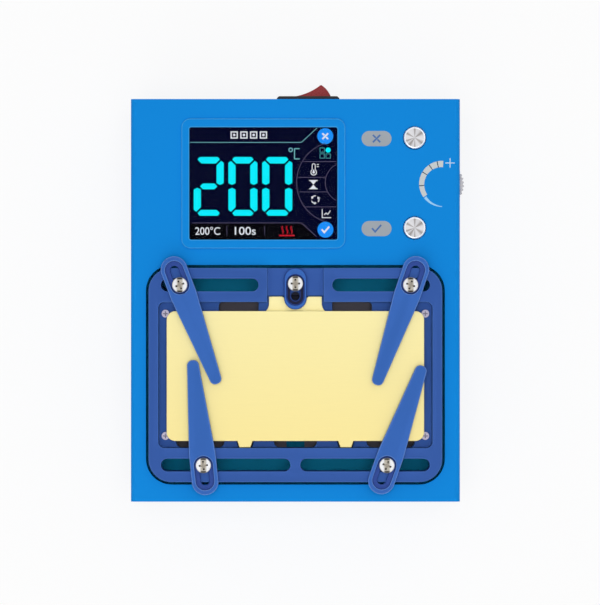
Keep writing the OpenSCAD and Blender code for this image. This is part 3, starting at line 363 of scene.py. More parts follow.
# Painted shade under the lock's slot, and painted reflection and shade on screw heads: the distances in
# millimetres between which one tone gives way to the next
SLOT_SHADE_REACH = (1.4, 2.0)
REFLECTION_REACH = (0.7, 1.2)
REFLECTION_ENDS = (1.6, 2.0)
RECESS_SHADE_REACH = (1.1, 1.4)
SHADE_REACH = (2.2, 2.5)

# Painted shade of a head's outer edge, as a share of its own colour, and depths from which a face counts as
# sunk and gets painted shade
RIM_SHADE = 0.3
RECESS_BELOW = 0.2 * MM
SUNK_BELOW = 0.32 * MM

# Painted reflection on a turned face, dark sectors: middle and half width, as shares of a turn
REFLECTED_SECTORS = ((0.06, 0.03), (0.15, 0.05), (0.25, 0.02), (0.4, 0.06), (0.6, 0.06), (0.75, 0.03), (0.92, 0.04))
GROOVE_TURNS = 260.0

CLAMP_PLACES = ("rear_left", "rear_right", "front_left", "front_right")
LOCK_SLOT_IN, LOCK_SLOT_BELOW = 4.4 * MM, 0.7 * MM
ALONG_Z = (1, 1, 0.2)
arm_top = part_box("clamp_arm_rear_left")[1].z
lock_low, lock_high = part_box("plate_lock")
# Point under the lock's slot, round which the frame gets a spot of painted shade
lock_slot = Vector((middle("plate_lock").x, lock_low.y + LOCK_SLOT_IN, lock_low.z - LOCK_SLOT_BELOW))

FINISHES = {
    "case_paint": powder_coat("case_paint", BLUE),
    "anodised_blue": anodised("anodised_blue", FRAME_BLUE),
    # Arms: painted shade on faces sunk below their top
    "arm_blue": anodised("arm_blue", ARM_BLUE, ARM_SUNK_SHADE, arm_top - SUNK_BELOW),
    "gold_plate": brushed(
        "gold_plate", GOLD, 0.25, 0.42, stretch=(0.04, 1, 1), lines=4.0, spread=0.02, front=GOLD_FRONT
    ),
    "steel": brushed("steel", STEEL, metallic=1.0, roughness=0.22, stretch=ALONG_Z),
    "spun_metal": spun_metal("spun_metal", tint(214, 214, 218), tint(150, 144, 142)),
    "rubber": plastic("rubber", tint(34, 34, 35), 0.8, grain=3.0, height=0.02),
    "black_plastic": plastic("black_plastic", tint(30, 30, 32), 0.45),
    "red_plastic": plastic("red_plastic", tint(156, 40, 42), 0.28, grain=3.0, height=0.003),
    "grey_plastic": plastic("grey_plastic", tint(204, 200, 200), 0.4),
    "window_glass": clear("window_glass", (0.98, 0.98, 1.0, 1.0), 1.08),
    "circuit_board": circuit_board("circuit_board", tint(16, 84, 48), tint(30, 112, 66)),
    "brass": brushed("brass", tint(205, 170, 95), 1.0, 0.3, ALONG_Z),
    "nylon": plastic("nylon", tint(232, 230, 220), 0.5),
    "winding_tape": plastic("winding_tape", tint(214, 182, 70), 0.35),
    "capacitor_sleeve": plastic("capacitor_sleeve", tint(28, 40, 84), 0.25),
    "bare_aluminium": brushed("bare_aluminium", tint(206, 207, 210), 1.0, 0.35, (0.05, 1, 1)),
    "terminal_green": plastic("terminal_green", tint(34, 120, 74), 0.45),
    "fuse_glass": clear("fuse_glass", (0.9, 0.95, 0.95, 1.0), 1.45),
    "mica": plastic("mica", tint(102, 98, 106), 0.75, grain=1.5, height=0.03),
    "ceramic": plastic("ceramic", tint(236, 231, 218), 0.6),
}
NODE_FINISHES = {
    "heat_shield": anodised("shield_paint", SHIELD_TEAL),
    # Lock: painted shade on faces sunk below its top; frame: a spot of painted shade under the lock's slot
    "plate_lock": anodised("lock_blue", ARM_BLUE, LOCK_SUNK_SHADE, lock_high.z - SUNK_BELOW),
    "stage_frame": anodised("frame_blue", FRAME_BLUE, shade_spot=lock_slot),
}


def head_top(screw):
    """Middle of the highest face of a screw."""
    centre = middle(screw)
    return Vector((centre.x, centre.y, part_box(screw)[1].z))


# Clamp and lock screws: band of painted reflection, and painted shade at its ends, on the outer edge and in
# the recess
for screw in ["plate_lock_screw"] + ["clamp_screw_" + place for place in CLAMP_PLACES]:
    tones = (STEEL, REFLECTED_TAN, RECESS_SHADE_TAN, PAINTED_DARK_SHADE)
    NODE_FINISHES[screw] = screw_head(screw + "_nickel", head_top(screw), *tones)
# Stage screws: painted shade in the recess
stage_top = head_top("stage_screws")
NODE_FINISHES["stage_screws"] = small_head("stage_screws_nickel", stage_top, STAGE_STEEL, RECESS_SHADE_PALE)
# Finishes of the rounded edges: lighter tones are painted highlights, and the arms' and frame's edges also
# get painted shade
EDGE_HIGHLIGHTS = {
    "spun_metal": brushed("cap_edge_highlight", CAP_EDGE_HIGHLIGHT, 1.0, 0.25, ALONG_Z),
    "case_paint": powder_coat("paint_edge_highlight", PAINT_EDGE_HIGHLIGHT),
    "arm_blue": anodised("arm_edge_highlight_and_shade", ARM_EDGE_HIGHLIGHT, ARM_SUNK_SHADE, arm_top - SUNK_BELOW, lean=-1),
    "anodised_blue": anodised("frame_edge_highlight_and_shade", FRAME_EDGE_HIGHLIGHT, shade_spot=lock_slot),
}

# CAD nodes: finishes, and rounded edges with their widths in millimetres

WELD = 1e-6
FLAT_ANGLE = math.radians(0.4)
SHARP_ANGLE = math.radians(38)
ROUND_STEPS = 3
NORMAL_WEIGHT = 80
ROUNDINGS = {
    "display_bezel": 0.3,
    "stage_frame": 0.25,
    "heat_plate": 0.2,
    "plate_lock": 0.25,
    "plate_lock_screw": 0.08,
    "thumbwheel": 0.12,
    "exit_button": 0.25,
    "ok_button": 0.25,
    "switch_housing": 0.15,
    "power_rocker": 0.3,
    "power_inlet": 0.2,
    "inlet_pins": 0.3,
    "rubber_feet": 0.4,
    "stage_screws": 0.06,
    "foot_screws": 0.08,
    "cover_screws": 0.08,
}
for place in CLAMP_PLACES:
    ROUNDINGS["clamp_arm_" + place] = 0.28
    ROUNDINGS["clamp_screw_" + place] = 0.08


def smooth_group():
    """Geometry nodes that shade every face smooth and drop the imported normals."""
    group = bpy.data.node_groups.new("smooth_faces", "GeometryNodeTree")
    group.interface.new_socket("Geometry", in_out="INPUT", socket_type="NodeSocketGeometry")
    group.interface.new_socket("Geometry", in_out="OUTPUT", socket_type="NodeSocketGeometry")
    start = group.nodes.new("NodeGroupInput")
    end = group.nodes.new("NodeGroupOutput")
    drop = group.nodes.new("GeometryNodeRemoveAttribute")
    drop.inputs["Name"].default_value = "custom_normal"
    last = start.outputs[0]
    chain = [drop]
    for domain in ("FACE", "EDGE"):
        smooth = group.nodes.new("GeometryNodeSetShadeSmooth")
        smooth.domain = domain
        chain.append(smooth)
    for step in chain:
        group.links.new(last, step.inputs["Geometry"])
        last = step.outputs["Geometry"]
    group.links.new(last, end.inputs[0])
    return group


SMOOTH = smooth_group()


def soften(piece, width, edge=None):
    """Rounds the sharp edges of a piece by a width in millimetres, and may give the rounding a finish of its
    own, with a painted highlight.
    """
    piece.modifiers.new("weld", "WELD").merge_threshold = WELD
    flatten = piece.modifiers.new("flatten", "DECIMATE")
    flatten.decimate_type = "DISSOLVE"
    flatten.angle_limit = FLAT_ANGLE
    rounding = piece.modifiers.new("rounding", "BEVEL")
    rounding.width = width * MM
    rounding.segments = ROUND_STEPS
    rounding.limit_method = "ANGLE"
    rounding.angle_limit = SHARP_ANGLE
    rounding.use_clamp_overlap = False
    if edge:
        piece.data.materials.append(edge)
        rounding.material = len(piece.data.materials) - 1
    piece.modifiers.new("smooth", "NODES").node_group = SMOOTH
    piece.modifiers.new("normals", "WEIGHTED_NORMAL").weight = NORMAL_WEIGHT


for part in frame["record"]["subparts"]:
    dressed = nodes[part["node"]]
    slot = part["material_slot"]
    dressed.data.materials.clear()
    dressed.data.materials.append(NODE_FINISHES.get(part["node"], FINISHES[slot]))
    if part["node"] in ROUNDINGS:
        soften(dressed, ROUNDINGS[part["node"]], edge=EDGE_HIGHLIGHTS.get(slot))

# Flat pieces: prints on the cover and lit areas of the display, in millimetres


def flat_piece(name, outlines, origin, thickness, material):
    """Thin piece of some outlines, in millimetres round an origin, that stands on the origin's height."""
    build = bmesh.new()
    for outline in outlines:
        low = [build.verts.new(origin + Vector((x * MM, y * MM, 0))) for x, y in outline]
        high = [build.verts.new(v.co + Vector((0, 0, thickness * MM))) for v in low]
        build.faces.new(low[::-1])
        build.faces.new(high)
        for i, start in enumerate(low):
            j = (i + 1) % len(low)
            build.faces.new((start, low[j], high[j], high[i]))
    bmesh.ops.recalc_face_normals(build, faces=build.faces)
    mesh = bpy.data.meshes.new(name)
    build.to_mesh(mesh)
    build.free()
    mesh.materials.append(material)
    piece = bpy.data.objects.new(name, mesh)
    bpy.context.scene.collection.objects.link(piece)
    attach(piece, "case")


def on_circle(x, y, radius, angle):
    """Point of a circle at an angle in degrees."""
    turn = math.radians(angle)
    return (x + radius * math.cos(turn), y + radius * math.sin(turn))


def arc(x, y, radius, start, end, steps=24):
    """Points of an arc, with its angles in degrees."""
    return [on_circle(x, y, radius, start + (end - start) * i / steps) for i in range(steps + 1)]


def band(x, y, inner, outer, start, end, steps=24):
    """Ring sector between two radii."""
    return arc(x, y, outer, start, end, steps) + arc(x, y, inner, end, start, steps)


def ring(x, y, inner, outer, steps=16):
    """Whole ring as two half bands."""
    return [band(x, y, inner, outer, a, a + 180, steps) for a in (0, 180)]


def disc(x, y, radius, steps=40):
    """Whole circle round a centre."""
    return arc(x, y, radius, 0, 360, steps)[:-1]


def rectangle(x0, y0, x1, y1):
    """Corners of an upright rectangle between two opposite ones."""
    return [(x0, y0), (x1, y0), (x1, y1), (x0, y1)]


def rounded(x, y, width, height, radius, steps=10):
    """Rectangle with round corners round a centre."""
    points = []
    for sx, sy, turn in ((1, 1, 0), (-1, 1, 90), (-1, -1, 180), (1, -1, 270)):
        corner = (x + sx * (width / 2 - radius), y + sy * (height / 2 - radius))
        points += arc(*corner, radius, turn, turn + 90, steps)
    return points


MITRE_LIMIT = 0.4


def stroke(points, width):
    """Line of an even width along points, with mitred corners."""
    left, right = [], []
    for i, (x, y) in enumerate(points):
        ways = []
        for j, k in ((i - 1, i), (i, i + 1)):
            if j >= 0 and k < len(points):
                way = Vector((points[k][0] - points[j][0], points[k][1] - points[j][1]))
                ways.append(way.normalized())
        along = sum(ways, Vector((0, 0))).normalized()
        side = Vector((-along.y, along.x))
        reach = width / 2 / max(MITRE_LIMIT, side.dot(Vector((-ways[0].y, ways[0].x))))
        left.append((x + side.x * reach, y + side.y * reach))
        right.append((x - side.x * reach, y - side.y * reach))
    return right + left[::-1]


INK_HEIGHT = 0.03
LIT_HEIGHT = 0.012


def ink(name, colour):
    """Paint printed on the cover."""
    return plastic(name, colour, roughness=0.5, grain=3.0, height=0.004)


print_grey = ink("print_grey", tint(160, 167, 175))
print_pale = ink("print_pale", tint(200, 205, 206))
print_light = ink("print_light", tint(206, 230, 250))
print_sky = ink("print_sky", tint(156, 208, 246))
print_blue = ink("print_blue", tint(74, 112, 170))
print_dark = ink("print_dark", tint(34, 56, 74))


def on_cover(point):
    """The place on the cover straight above or below a point."""
    return Vector((point.x, point.y, cover_top))


# Grey pills beside the buttons, each with a plain sign

PILL_SHIFT = Vector((-12.47, -0.22, 0)) * MM
PILL_W, PILL_D, PILL_CORNER = 9.8, 5.0, 2.49
SIGN_WIDTH = 0.55
BUTTON_CROSS, BUTTON_CHECK = 1.2, 1.5


def cross_sign(size):
    """Cross of one whole and two half strokes, which reach so far each way."""
    return [
        stroke([(-size, -size), (size, size)], SIGN_WIDTH),
        stroke([(-size, size), (-SIGN_WIDTH / 2, SIGN_WIDTH / 2)], SIGN_WIDTH),
        stroke([(SIGN_WIDTH / 2, -SIGN_WIDTH / 2), (size, -size)], SIGN_WIDTH),
    ]


def check_sign(size):
    """Check mark in one stroke, which reaches so far to each side."""
    return [stroke([(-size, 0.1 * size), (-0.3 * size, -0.7 * size), (size, 0.8 * size)], SIGN_WIDTH)]


pill = rounded(0, 0, PILL_W, PILL_D, PILL_CORNER)
for button, sign in (("exit_button", cross_sign(BUTTON_CROSS)), ("ok_button", check_sign(BUTTON_CHECK))):
    origin = on_cover(middle(button) + PILL_SHIFT)
    flat_piece(button + "_pill", [pill], origin, INK_HEIGHT, print_grey)
    flat_piece(button + "_sign", sign, origin + Vector((0, 0, INK_HEIGHT * MM)), INK_HEIGHT, print_blue)

# Printed arc round the thumbwheel, thick at its plus end, and the plus, with angles in degrees

ARC_RADIUS = 7.55
ARC_START, ARC_TAIL, ARC_END = 87, 217, 270
ARC_GAPS = (102.7, 124.7, 149, 185, ARC_TAIL)
ARC_GAP = 0.34
ARC_WIDTHS = (2.1, 1.5)
TAIL_WIDTHS = (0.95, 0.2)
PLUS_SHIFT = (2.6, 6.85)
PLUS_ARM, PLUS_WIDTH = 1.55, 0.27


def arc_thickness(angle):
    """Width of the arc at an angle: a slow taper, then a thin tail."""
    if angle < ARC_TAIL:
        first, last, (wide, thin) = ARC_START, ARC_TAIL, ARC_WIDTHS
    else:
        first, last, (wide, thin) = ARC_TAIL, ARC_END, TAIL_WIDTHS
    return wide + (thin - wide) * (angle - first) / (last - first)


def tapered_band(start, end, steps=16):
    """Stretch of the arc between two angles, with the arc's width at each."""
    outer = arc(0, 0, ARC_RADIUS, start, end, steps)
    inner = []
    for i in range(steps, -1, -1):
        angle = start + (end - start) * i / steps
        inner.append(on_circle(0, 0, ARC_RADIUS - arc_thickness(angle), angle))
    return outer + inner


gap_half = math.degrees(ARC_GAP / ARC_RADIUS) / 2
starts = [ARC_START] + [a + gap_half for a in ARC_GAPS]
ends = [a - gap_half for a in ARC_GAPS] + [ARC_END]
wheel_mid = on_cover(middle("thumbwheel"))
blocks = [tapered_band(a, b) for a, b in zip(starts, ends)]
flat_piece("level_arc", blocks[:-1], wheel_mid, INK_HEIGHT, print_pale)
flat_piece("level_tail", blocks[-1:], wheel_mid, INK_HEIGHT, print_sky)
lines = [tapered_band(a, b, steps=2) for a, b in zip(ends[:-2], starts[1:-1])]
flat_piece("level_lines", lines, wheel_mid, INK_HEIGHT / 2, print_dark)
plus_x, plus_y = PLUS_SHIFT
half = PLUS_WIDTH / 2
plus = [
    rectangle(plus_x - PLUS_ARM, plus_y - half, plus_x + PLUS_ARM, plus_y + half),
    rectangle(plus_x - half, plus_y + half, plus_x + half, plus_y + PLUS_ARM),
    rectangle(plus_x - half, plus_y - PLUS_ARM, plus_x + half, plus_y - half),
]
flat_piece("plus_mark", plus, wheel_mid, INK_HEIGHT, print_light)

# Display: dark panel with lit numbers, lines and plain signs, placed from the middle of its window

SCREEN_W, SCREEN_D, SCREEN_CORNER = 49.0, 37.3, 0.5
EDGE_X = 24.2
LINE = 0.2
window_mid = middle("display_window")
layer = Vector((0, 0, LIT_HEIGHT * MM))
screen = Vector((window_mid.x, window_mid.y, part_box("display_module")[1].z))
lit = screen + layer
over_foot = lit + layer
over_disc = over_foot + layer

night = screen_light("screen_night", tint(3, 5, 34))
black = screen_light("screen_black", tint(4, 4, 8))
cyan = screen_light("screen_cyan", tint(8, 236, 250))
teal = screen_light("screen_teal", tint(74, 158, 164))
pale = screen_light("screen_pale", tint(108, 176, 186))
dim = screen_light("screen_dim", tint(82, 76, 104))
white = screen_light("screen_white", tint(222, 226, 232))
sky = screen_light("screen_sky", tint(28, 142, 246))
red = screen_light("screen_red", tint(196, 24, 40))

panel = rounded(0, 0, SCREEN_W, SCREEN_D, SCREEN_CORNER)
flat_piece("screen_panel", [panel], screen, LIT_HEIGHT, night)

# Large number in seven bars: corners mitred and cut, middles pointed

DIGIT_TOP, DIGIT_LOW = 8.78, -10.52
DIGIT_MID = (DIGIT_TOP + DIGIT_LOW) / 2
POST, TOP_BAR, MID_BAR, LOW_BAR = 2.38, 2.15, 1.92, 1.92
CORNER_CUT, CORNER_GAP, CORNER_RUN = 0.86, 0.42, 0.7
MID_GAP, MID_CUT, MID_INSET = 0.45, 0.65, 2.08
DIGITS = (("2", -22.9, -13.03), ("0", -11.52, -1.97), ("0", -0.42, 9.47))
SEGMENTS = {"2": "abged", "0": "abcdef"}


def corner_end(thick):
    """Points of a bar's end at a corner of a digit, as (along, across) from the outer corner."""
    tip = CORNER_CUT + CORNER_GAP
    return [(tip + CORNER_RUN, 0), (tip, CORNER_CUT), (thick + CORNER_GAP, thick)]


def level_bar(left, right, y, inward, thick):
    """Top or bottom bar, with its outer edge at a height."""
    end = corner_end(thick)
    start = [(left + along, y + inward * across) for along, across in end]
    return start + [(right - along, y + inward * across) for along, across in reversed(end)]


def post(x, inward, y, way):
    """Upright bar from a corner of the digit to its middle, with its outer edge at x."""
    corner = [(x + inward * across, y + way * along) for along, across in corner_end(POST)]
    tip, shoulder = DIGIT_MID - way * MID_GAP, DIGIT_MID - way * (MID_GAP + MID_CUT)
    return corner + [(x + inward * POST, shoulder), (x + inward * POST / 2, tip), (x, shoulder)]


def middle_bar(left, right):
    """Level bar in the middle of a digit, pointed at both ends."""
    half = MID_BAR / 2
    x0, x1 = left + MID_INSET, right - MID_INSET
    low, high = DIGIT_MID - half, DIGIT_MID + half
    lower = [(x0, DIGIT_MID), (x0 + half, low), (x1 - half, low)]
    return lower + [(x1, DIGIT_MID), (x1 - half, high), (x0 + half, high)]


def digit(name, left, right):
    """Lit bars of a number between its left and right sides."""
    bars = {
        "a": level_bar(left, right, DIGIT_TOP, -1, TOP_BAR),
        "b": post(right, -1, DIGIT_TOP, -1),
        "c": post(right, -1, DIGIT_LOW, 1),
        "d": level_bar(left, right, DIGIT_LOW, 1, LOW_BAR),
        "e": post(left, 1, DIGIT_LOW, 1),
        "f": post(left, 1, DIGIT_TOP, -1),
        "g": middle_bar(left, right),
    }
    return [bars[letter] for letter in SEGMENTS[name]]


flat_piece("screen_number", sum((digit(*d) for d in DIGITS), []), lit, LIT_HEIGHT, cyan)

# Lines of the title and the foot, and the unit

TITLE_Y, FOOT_Y = 13.56, -12.87
CORNER_X = 12.46
TITLE_LINE = 0.2
TITLE_END = (17.6, 18.3)
FOOT_END = (17.4, -17.35)
FOOT_START = -23.4
FOOT_LOW, FOOT_LOW_X = -18.3, 17.9
UNIT_RING = (8.95, 11.1, 0.42, 0.74)
UNIT_X, UNIT_LOW, UNIT_HIGH = (10.2, 11.9), 8.15, 11.5
UNIT_LINE = 0.32

title_line = stroke([(-EDGE_X, TITLE_Y), (CORNER_X, TITLE_Y), TITLE_END], TITLE_LINE)
flat_piece("screen_title_line", [title_line], lit, LIT_HEIGHT, pale)
foot_top = FOOT_Y - LINE
foot = [(-EDGE_X, FOOT_LOW), (FOOT_LOW_X, FOOT_LOW), (CORNER_X, foot_top), (-EDGE_X, foot_top)]
flat_piece("screen_foot", [foot], lit, LIT_HEIGHT, black)
near_x, far_x = UNIT_X
letter = [(far_x, UNIT_HIGH), (near_x, UNIT_HIGH), (near_x, UNIT_LOW), (far_x, UNIT_LOW)]
flat_piece("screen_unit", ring(*UNIT_RING) + [stroke(letter, UNIT_LINE)], lit, LIT_HEIGHT, pale)

# Menu at the right: two arcs, lines between them and a disc in each corner

BIG_X, SMALL_X, ARC_Y = 24.36, 26.85, 0.4
BIG_R, SMALL_R = 13.5, 6.56
BIG_TURN, SMALL_TURN = (107, 253), (115, 245)
DIVIDERS = (7.26, 2.08, -2.7, -7.62)
DISC_R, DISC_CROSS, DISC_CHECK = 2.62, 0.95, 1.25
DISCS = ((20.3, 15.6, cross_sign(DISC_CROSS)), (20.36, -15.1, check_sign(DISC_CHECK)))


def chord(x, radius, y):
    """Left end of a circle at a height, or the screen's edge where the circle is not that tall."""
    inside = radius ** 2 - (y - ARC_Y) ** 2
    return min(EDGE_X, x - math.sqrt(inside)) if inside > 0 else EDGE_X


def line_arc(x, radius, turn, steps):
    """Thin arc of the menu."""
    return band(x, ARC_Y, radius - LINE / 2, radius + LINE / 2, *turn, steps)


def divider(y):
    """Level line between the two arcs of the menu."""
    left = chord(BIG_X, BIG_R, y) + LINE
    right = chord(SMALL_X, SMALL_R, y) - LINE
    return rectangle(left, y - LINE / 2, right, y + LINE / 2)


menu = [line_arc(BIG_X, BIG_R, BIG_TURN, steps=48), line_arc(SMALL_X, SMALL_R, SMALL_TURN, steps=32)]
menu += [divider(y) for y in DIVIDERS]
menu.append(stroke([(FOOT_START, FOOT_Y), (CORNER_X, FOOT_Y), FOOT_END], LINE))
flat_piece("screen_menu_lines", menu, over_foot, LIT_HEIGHT, dim)
discs = [disc(x, y, DISC_R) for x, y, sign in DISCS]
flat_piece("screen_discs", discs, over_foot, LIT_HEIGHT, sky)
signs = [[(x + a, y + b) for a, b in shape] for x, y, sign in DISCS for shape in sign]
flat_piece("screen_disc_signs", signs, over_disc, LIT_HEIGHT, white)

# Page marks in the title: hollow squares with a dot

PAGE_XS, PAGE_Y = (-9.6, -6.4, -3.2, 0.0), 16.0
PAGE_HALF, PAGE_LINE, PAGE_DOT = 1.2, 0.4, 0.42


def square_ring(x, y, half, width):
    """Hollow square round a centre, as four bars."""
    inner = half - width
    return [
        rectangle(x - half, y - half, x + half, y - inner),
        rectangle(x - half, y + inner, x + half, y + half),
        rectangle(x - half, y - inner, x - inner, y + inner),
        rectangle(x + inner, y - inner, x + half, y + inner),
    ]


marks = [bar for x in PAGE_XS for bar in square_ring(x, PAGE_Y, PAGE_HALF, PAGE_LINE)]
marks += [disc(x, PAGE_Y, PAGE_DOT, steps=16) for x in PAGE_XS]
flat_piece("screen_page_marks", marks, lit, LIT_HEIGHT, white)

# Menu signs: grid, thermometer, hourglass, cycle and chart

GRID_XS, GRID_YS = (19.3, 21.25), (9.1, 11.05)
GRID_HALF, GRID_LINE, GRID_DOT = 0.8, 0.18, 0.85
HEAT_SPOT, TIME_SPOT = (16.5, 3.75), (16.4, -0.3)
CYCLE_SPOT, CHART_SPOT = (17.0, -5.2), (19.3, -11.15)

squares = [(GRID_XS[0], GRID_YS[0]), (GRID_XS[0], GRID_YS[1]), (GRID_XS[1], GRID_YS[0])]
grid = [bar for x, y in squares for bar in square_ring(x, y, GRID_HALF, GRID_LINE)]
flat_piece("screen_grid_sign", grid, lit, LIT_HEIGHT, teal)
flat_piece("screen_grid_dot", [disc(GRID_XS[1], GRID_YS[1], GRID_DOT)], lit, LIT_HEIGHT, cyan)


def thermometer(x, y):
    """Filled bulb in a round tube with a round top, and marks beside it."""
    heart, bulb_in, bulb_out, bore, wall = 0.42, 0.78, 1.05, 0.38, 0.62
    neck, top = 0.86, 2.3
    near, far, mark, mark_lows = 1.0, 1.7, 0.22, (1.75, 2.45)
    bulb_start, bulb_end = 125, 415
    shape = [disc(x, y, heart, steps=20), rectangle(x - heart / 2, y + heart, x + heart / 2, y + neck)]
    shape.append(band(x, y, bulb_in, bulb_out, bulb_start, bulb_end, steps=30))
    shape.append(band(x, y + top, bore, wall, 0, 180, steps=12))
    shape.append(rectangle(x - wall, y + neck, x - bore, y + top))
    shape.append(rectangle(x + bore, y + neck, x + wall, y + top))
    return shape + [rectangle(x + near, y + h, x + far, y + h + mark) for h in mark_lows]


def hourglass(x, y):
    """Two triangles that meet in a waist, between two bars."""
    half, rim, tall, bar = 1.0, 1.4, 1.2, 0.3
    shape = [rectangle(x - rim, y + way * tall, x + rim, y + way * (tall + bar)) for way in (-1, 1)]
    return shape + [[(x - half, y + way * tall), (x, y), (x + half, y + way * tall)] for way in (-1, 1)]


def cycle(x, y):
    """Three arrows round a circle."""
    inner, outer, barb_in, barb_out = 1.08, 1.38, 0.72, 1.74
    run, point = 58, 92
    shape = []
    for start in (80, 200, 320):
        shape.append(band(x, y, inner, outer, start, start + run, steps=10))
        barb = [on_circle(x, y, radius, start + run) for radius in (barb_in, barb_out)]
        shape.append(barb + [on_circle(x, y, (inner + outer) / 2, start + point)])
    return shape


def chart(x, y):
    """Two axes and a rising line."""
    wide, tall, line = 2.9, 2.75, 0.26
    rise = [(0.6, 0.95), (1.3, 1.55), (1.8, 1.05), (2.7, 2.35)]
    axes = stroke([(x, y + tall), (x, y), (x + wide, y)], line)
    return [axes, stroke([(x + a, y + b) for a, b in rise], line)]


signs = thermometer(*HEAT_SPOT) + hourglass(*TIME_SPOT) + cycle(*CYCLE_SPOT) + chart(*CHART_SPOT)
flat_piece("screen_menu_signs", signs, lit, LIT_HEIGHT, white)

# Foot: dividers, heat sign and two set values

FOOT_BARS = (-12.0, 0.36)
FOOT_BAR_LOW, FOOT_BAR_HIGH, FOOT_BAR_HALF = -16.94, -13.94, 0.08
WAVE_XS, WAVE_LOW, WAVE_HIGH = (6.3, 7.75, 9.2), -16.34, -13.94
WAVE_SWAY, WAVE_LINE = 0.22, 0.32
HOB_X, HOB_LOW, HOB_HIGH = (5.2, 10.2), -17.24, -16.76
VALUE_LOW, VALUE_HIGH = -16.8, -14.15
SET_HEAT_X, SET_TIME_X = (-22.4, -14.2), (-9.4, -2.5)
TEXT_WEIGHT = 0.005


def wave(x, steps=10):
    """Points of a rising wave of heat."""
    shares = [i / steps for i in range(steps + 1)]
    rise = WAVE_HIGH - WAVE_LOW
    return [(x + WAVE_SWAY * math.sin(math.tau * share), WAVE_LOW + rise * share) for share in shares]


bars = [rectangle(x - FOOT_BAR_HALF, FOOT_BAR_LOW, x + FOOT_BAR_HALF, FOOT_BAR_HIGH) for x in FOOT_BARS]
flat_piece("screen_dividers", bars, over_foot, LIT_HEIGHT, dim)
heat = [stroke(wave(x), WAVE_LINE) for x in WAVE_XS]
heat.append(rectangle(HOB_X[0], HOB_LOW, HOB_X[1], HOB_HIGH))
flat_piece("screen_heat_sign", heat, over_foot, LIT_HEIGHT, red)


def number_piece(name, words, left, right):
    """Small flat number of the foot, fitted between its left and right sides."""
    curve = bpy.data.curves.new(name, "FONT")
    curve.body = words
    curve.extrude = LIT_HEIGHT / 2
    curve.offset = TEXT_WEIGHT
    written = bpy.data.objects.new(name + "_text", curve)
    bpy.context.scene.collection.objects.link(written)
    bpy.context.view_layer.update()
    graph = bpy.context.evaluated_depsgraph_get()
    mesh = bpy.data.meshes.new_from_object(written.evaluated_get(graph))
    bpy.data.objects.remove(written)
    xs = [v.co.x for v in mesh.vertices]
    ys = [v.co.y for v in mesh.vertices]
    for v in mesh.vertices:
        x = left + (v.co.x - min(xs)) / (max(xs) - min(xs)) * (right - left)
        y = VALUE_LOW + (v.co.y - min(ys)) / (max(ys) - min(ys)) * (VALUE_HIGH - VALUE_LOW)
        v.co = over_foot + Vector((x, y, v.co.z + LIT_HEIGHT / 2)) * MM
    mesh.materials.append(white)
    piece = bpy.data.objects.new(name, mesh)
    bpy.context.scene.collection.objects.link(piece)
    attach(piece, "case")


number_piece("screen_set_heat", "200\N{DEGREE SIGN}C", *SET_HEAT_X)
number_piece("screen_set_time", "100s", *SET_TIME_X)

# Floor, light and camera

# Height of the camera over the cover, a pixel's size on the cover, and the sensor, in millimetres
CAMERA_HEIGHT = 900
PIXEL = 0.3278
SENSOR = 36

# Size of the picture and place of the middle of the body in it, in pixels
IMAGE_W, IMAGE_H = 600, 605
BODY_PIXEL = (295.4, 300.35)

# Reach of the floor in metres, and how bright the floor and the room are
FLOOR_REACH = 8.0
FLOOR_GLOW = 0.84
FLOOR_PALE = (0.95, 0.95, 0.95, 1)
WHITE = (1, 1, 1, 1)
DOME_LOW, DOME_HIGH = 0.3, 0.55


def seen_share(tree):
    """One for the rays by which the camera, gloss and glass see a thing, zero for the rays that light it."""
    path = tree.nodes.new("ShaderNodeLightPath")
    share = path.outputs["Is Camera Ray"]
    for ray in ("Is Glossy Ray", "Is Transmission Ray"):
        larger = tree.nodes.new("ShaderNodeMath")
        larger.operation = "MAXIMUM"
        tree.links.new(share, larger.inputs[0])
        tree.links.new(path.outputs[ray], larger.inputs[1])
        share = larger.outputs["Value"]
    return share


def floor():
    """Pale floor that stays white for the camera and keeps a soft shadow."""
    mesh = bpy.data.meshes.new("floor")
    corners = [(x * FLOOR_REACH, y * FLOOR_REACH, 0) for x, y in rectangle(-1, -1, 1, 1)]
    mesh.from_pydata(corners, [], [(0, 1, 2, 3)])
    plane = bpy.data.objects.new("floor", mesh)
    bpy.context.scene.collection.objects.link(plane)
    made = Finish("floor_pale", Base_Color=FLOOR_PALE, Roughness=0.9, Specular_IOR_Level=0.1)
    glow = made.add("ShaderNodeEmission", Color=WHITE, Strength=1.0)
    blend = made.add("ShaderNodeMixShader")
    made.link(made.math("MULTIPLY", seen_share(made.tree), FLOOR_GLOW), blend.inputs["Fac"])
    made.link(made.surface.outputs["BSDF"], blend.inputs[1])
    made.link(glow.outputs["Emission"], blend.inputs[2])
    made.link(blend.outputs["Shader"], made.tree.nodes["Material Output"].inputs["Surface"])
    mesh.materials.append(made.material)


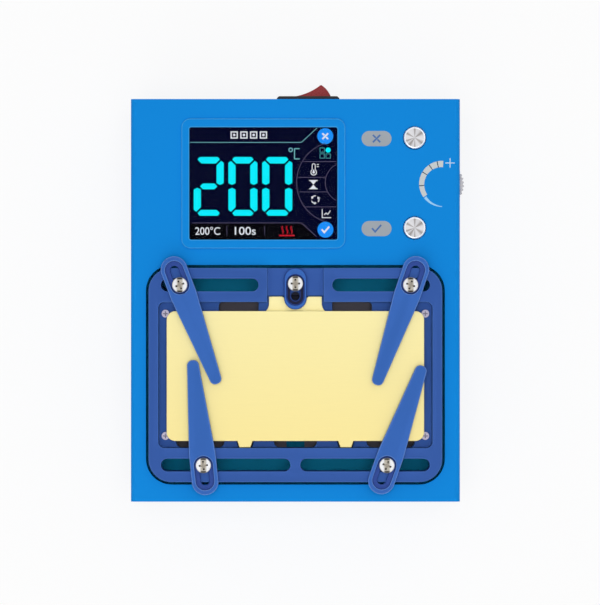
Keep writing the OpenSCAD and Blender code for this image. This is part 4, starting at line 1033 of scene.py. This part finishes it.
def dome(low, high):
    """Studio light from all round, stronger from above, in a room that looks white."""
    world = bpy.data.worlds.new("studio")
    world.use_nodes = True
    bpy.context.scene.world = world
    tree = world.node_tree
    place = tree.nodes.new("ShaderNodeTexCoord")
    split = tree.nodes.new("ShaderNodeSeparateXYZ")
    spread = tree.nodes.new("ShaderNodeMapRange")
    spread.inputs["From Min"].default_value = 0
    spread.inputs["To Min"].default_value = low
    spread.inputs["To Max"].default_value = high
    tree.links.new(place.outputs["Generated"], split.inputs["Vector"])
    tree.links.new(split.outputs["Z"], spread.inputs["Value"])
    level = tree.nodes.new("ShaderNodeMix")
    level.inputs["B"].default_value = 1.0
    tree.links.new(seen_share(tree), level.inputs["Factor"])
    tree.links.new(spread.outputs["Result"], level.inputs["A"])
    tree.links.new(level.outputs["Result"], tree.nodes["Background"].inputs["Strength"])
    tree.nodes["Background"].inputs["Color"].default_value = WHITE


def lamp(name, spot, size, power, mirrored=True):
    """Square soft lamp that points at the middle of the case, and may stay out of reflections."""
    data = bpy.data.lights.new(name, "AREA")
    data.size = size
    data.energy = power
    made = bpy.data.objects.new(name, data)
    made.location = spot
    made.rotation_euler = (case_mid - made.location).to_track_quat("-Z", "Y").to_euler()
    made.visible_glossy = mirrored
    made.visible_transmission = mirrored
    bpy.context.scene.collection.objects.link(made)


def camera():
    """Camera straight above, with the case where it lies in the picture."""
    data = bpy.data.cameras.new("camera")
    tall = IMAGE_H * PIXEL
    data.sensor_width = SENSOR
    data.lens = SENSOR * CAMERA_HEIGHT / tall
    made = bpy.data.objects.new("camera", data)
    shift_x = (IMAGE_W / 2 - BODY_PIXEL[0]) * PIXEL * MM
    shift_y = (BODY_PIXEL[1] - IMAGE_H / 2) * PIXEL * MM
    made.location = (case_mid.x + shift_x, case_mid.y + shift_y, cover_top + CAMERA_HEIGHT * MM)
    bpy.context.scene.collection.objects.link(made)
    bpy.context.scene.camera = made


floor()
dome(DOME_LOW, DOME_HIGH)
lamp("top", Vector((0, 0, 1.2)), size=0.5, power=5.0, mirrored=False)
lamp("key", Vector((-0.15, -0.5, 0.75)), size=0.7, power=1.1)
lamp("fill", Vector((0.4, 0.5, 0.9)), size=0.8, power=0.6)
camera()
bpy.context.scene.view_settings.view_transform = "Standard"
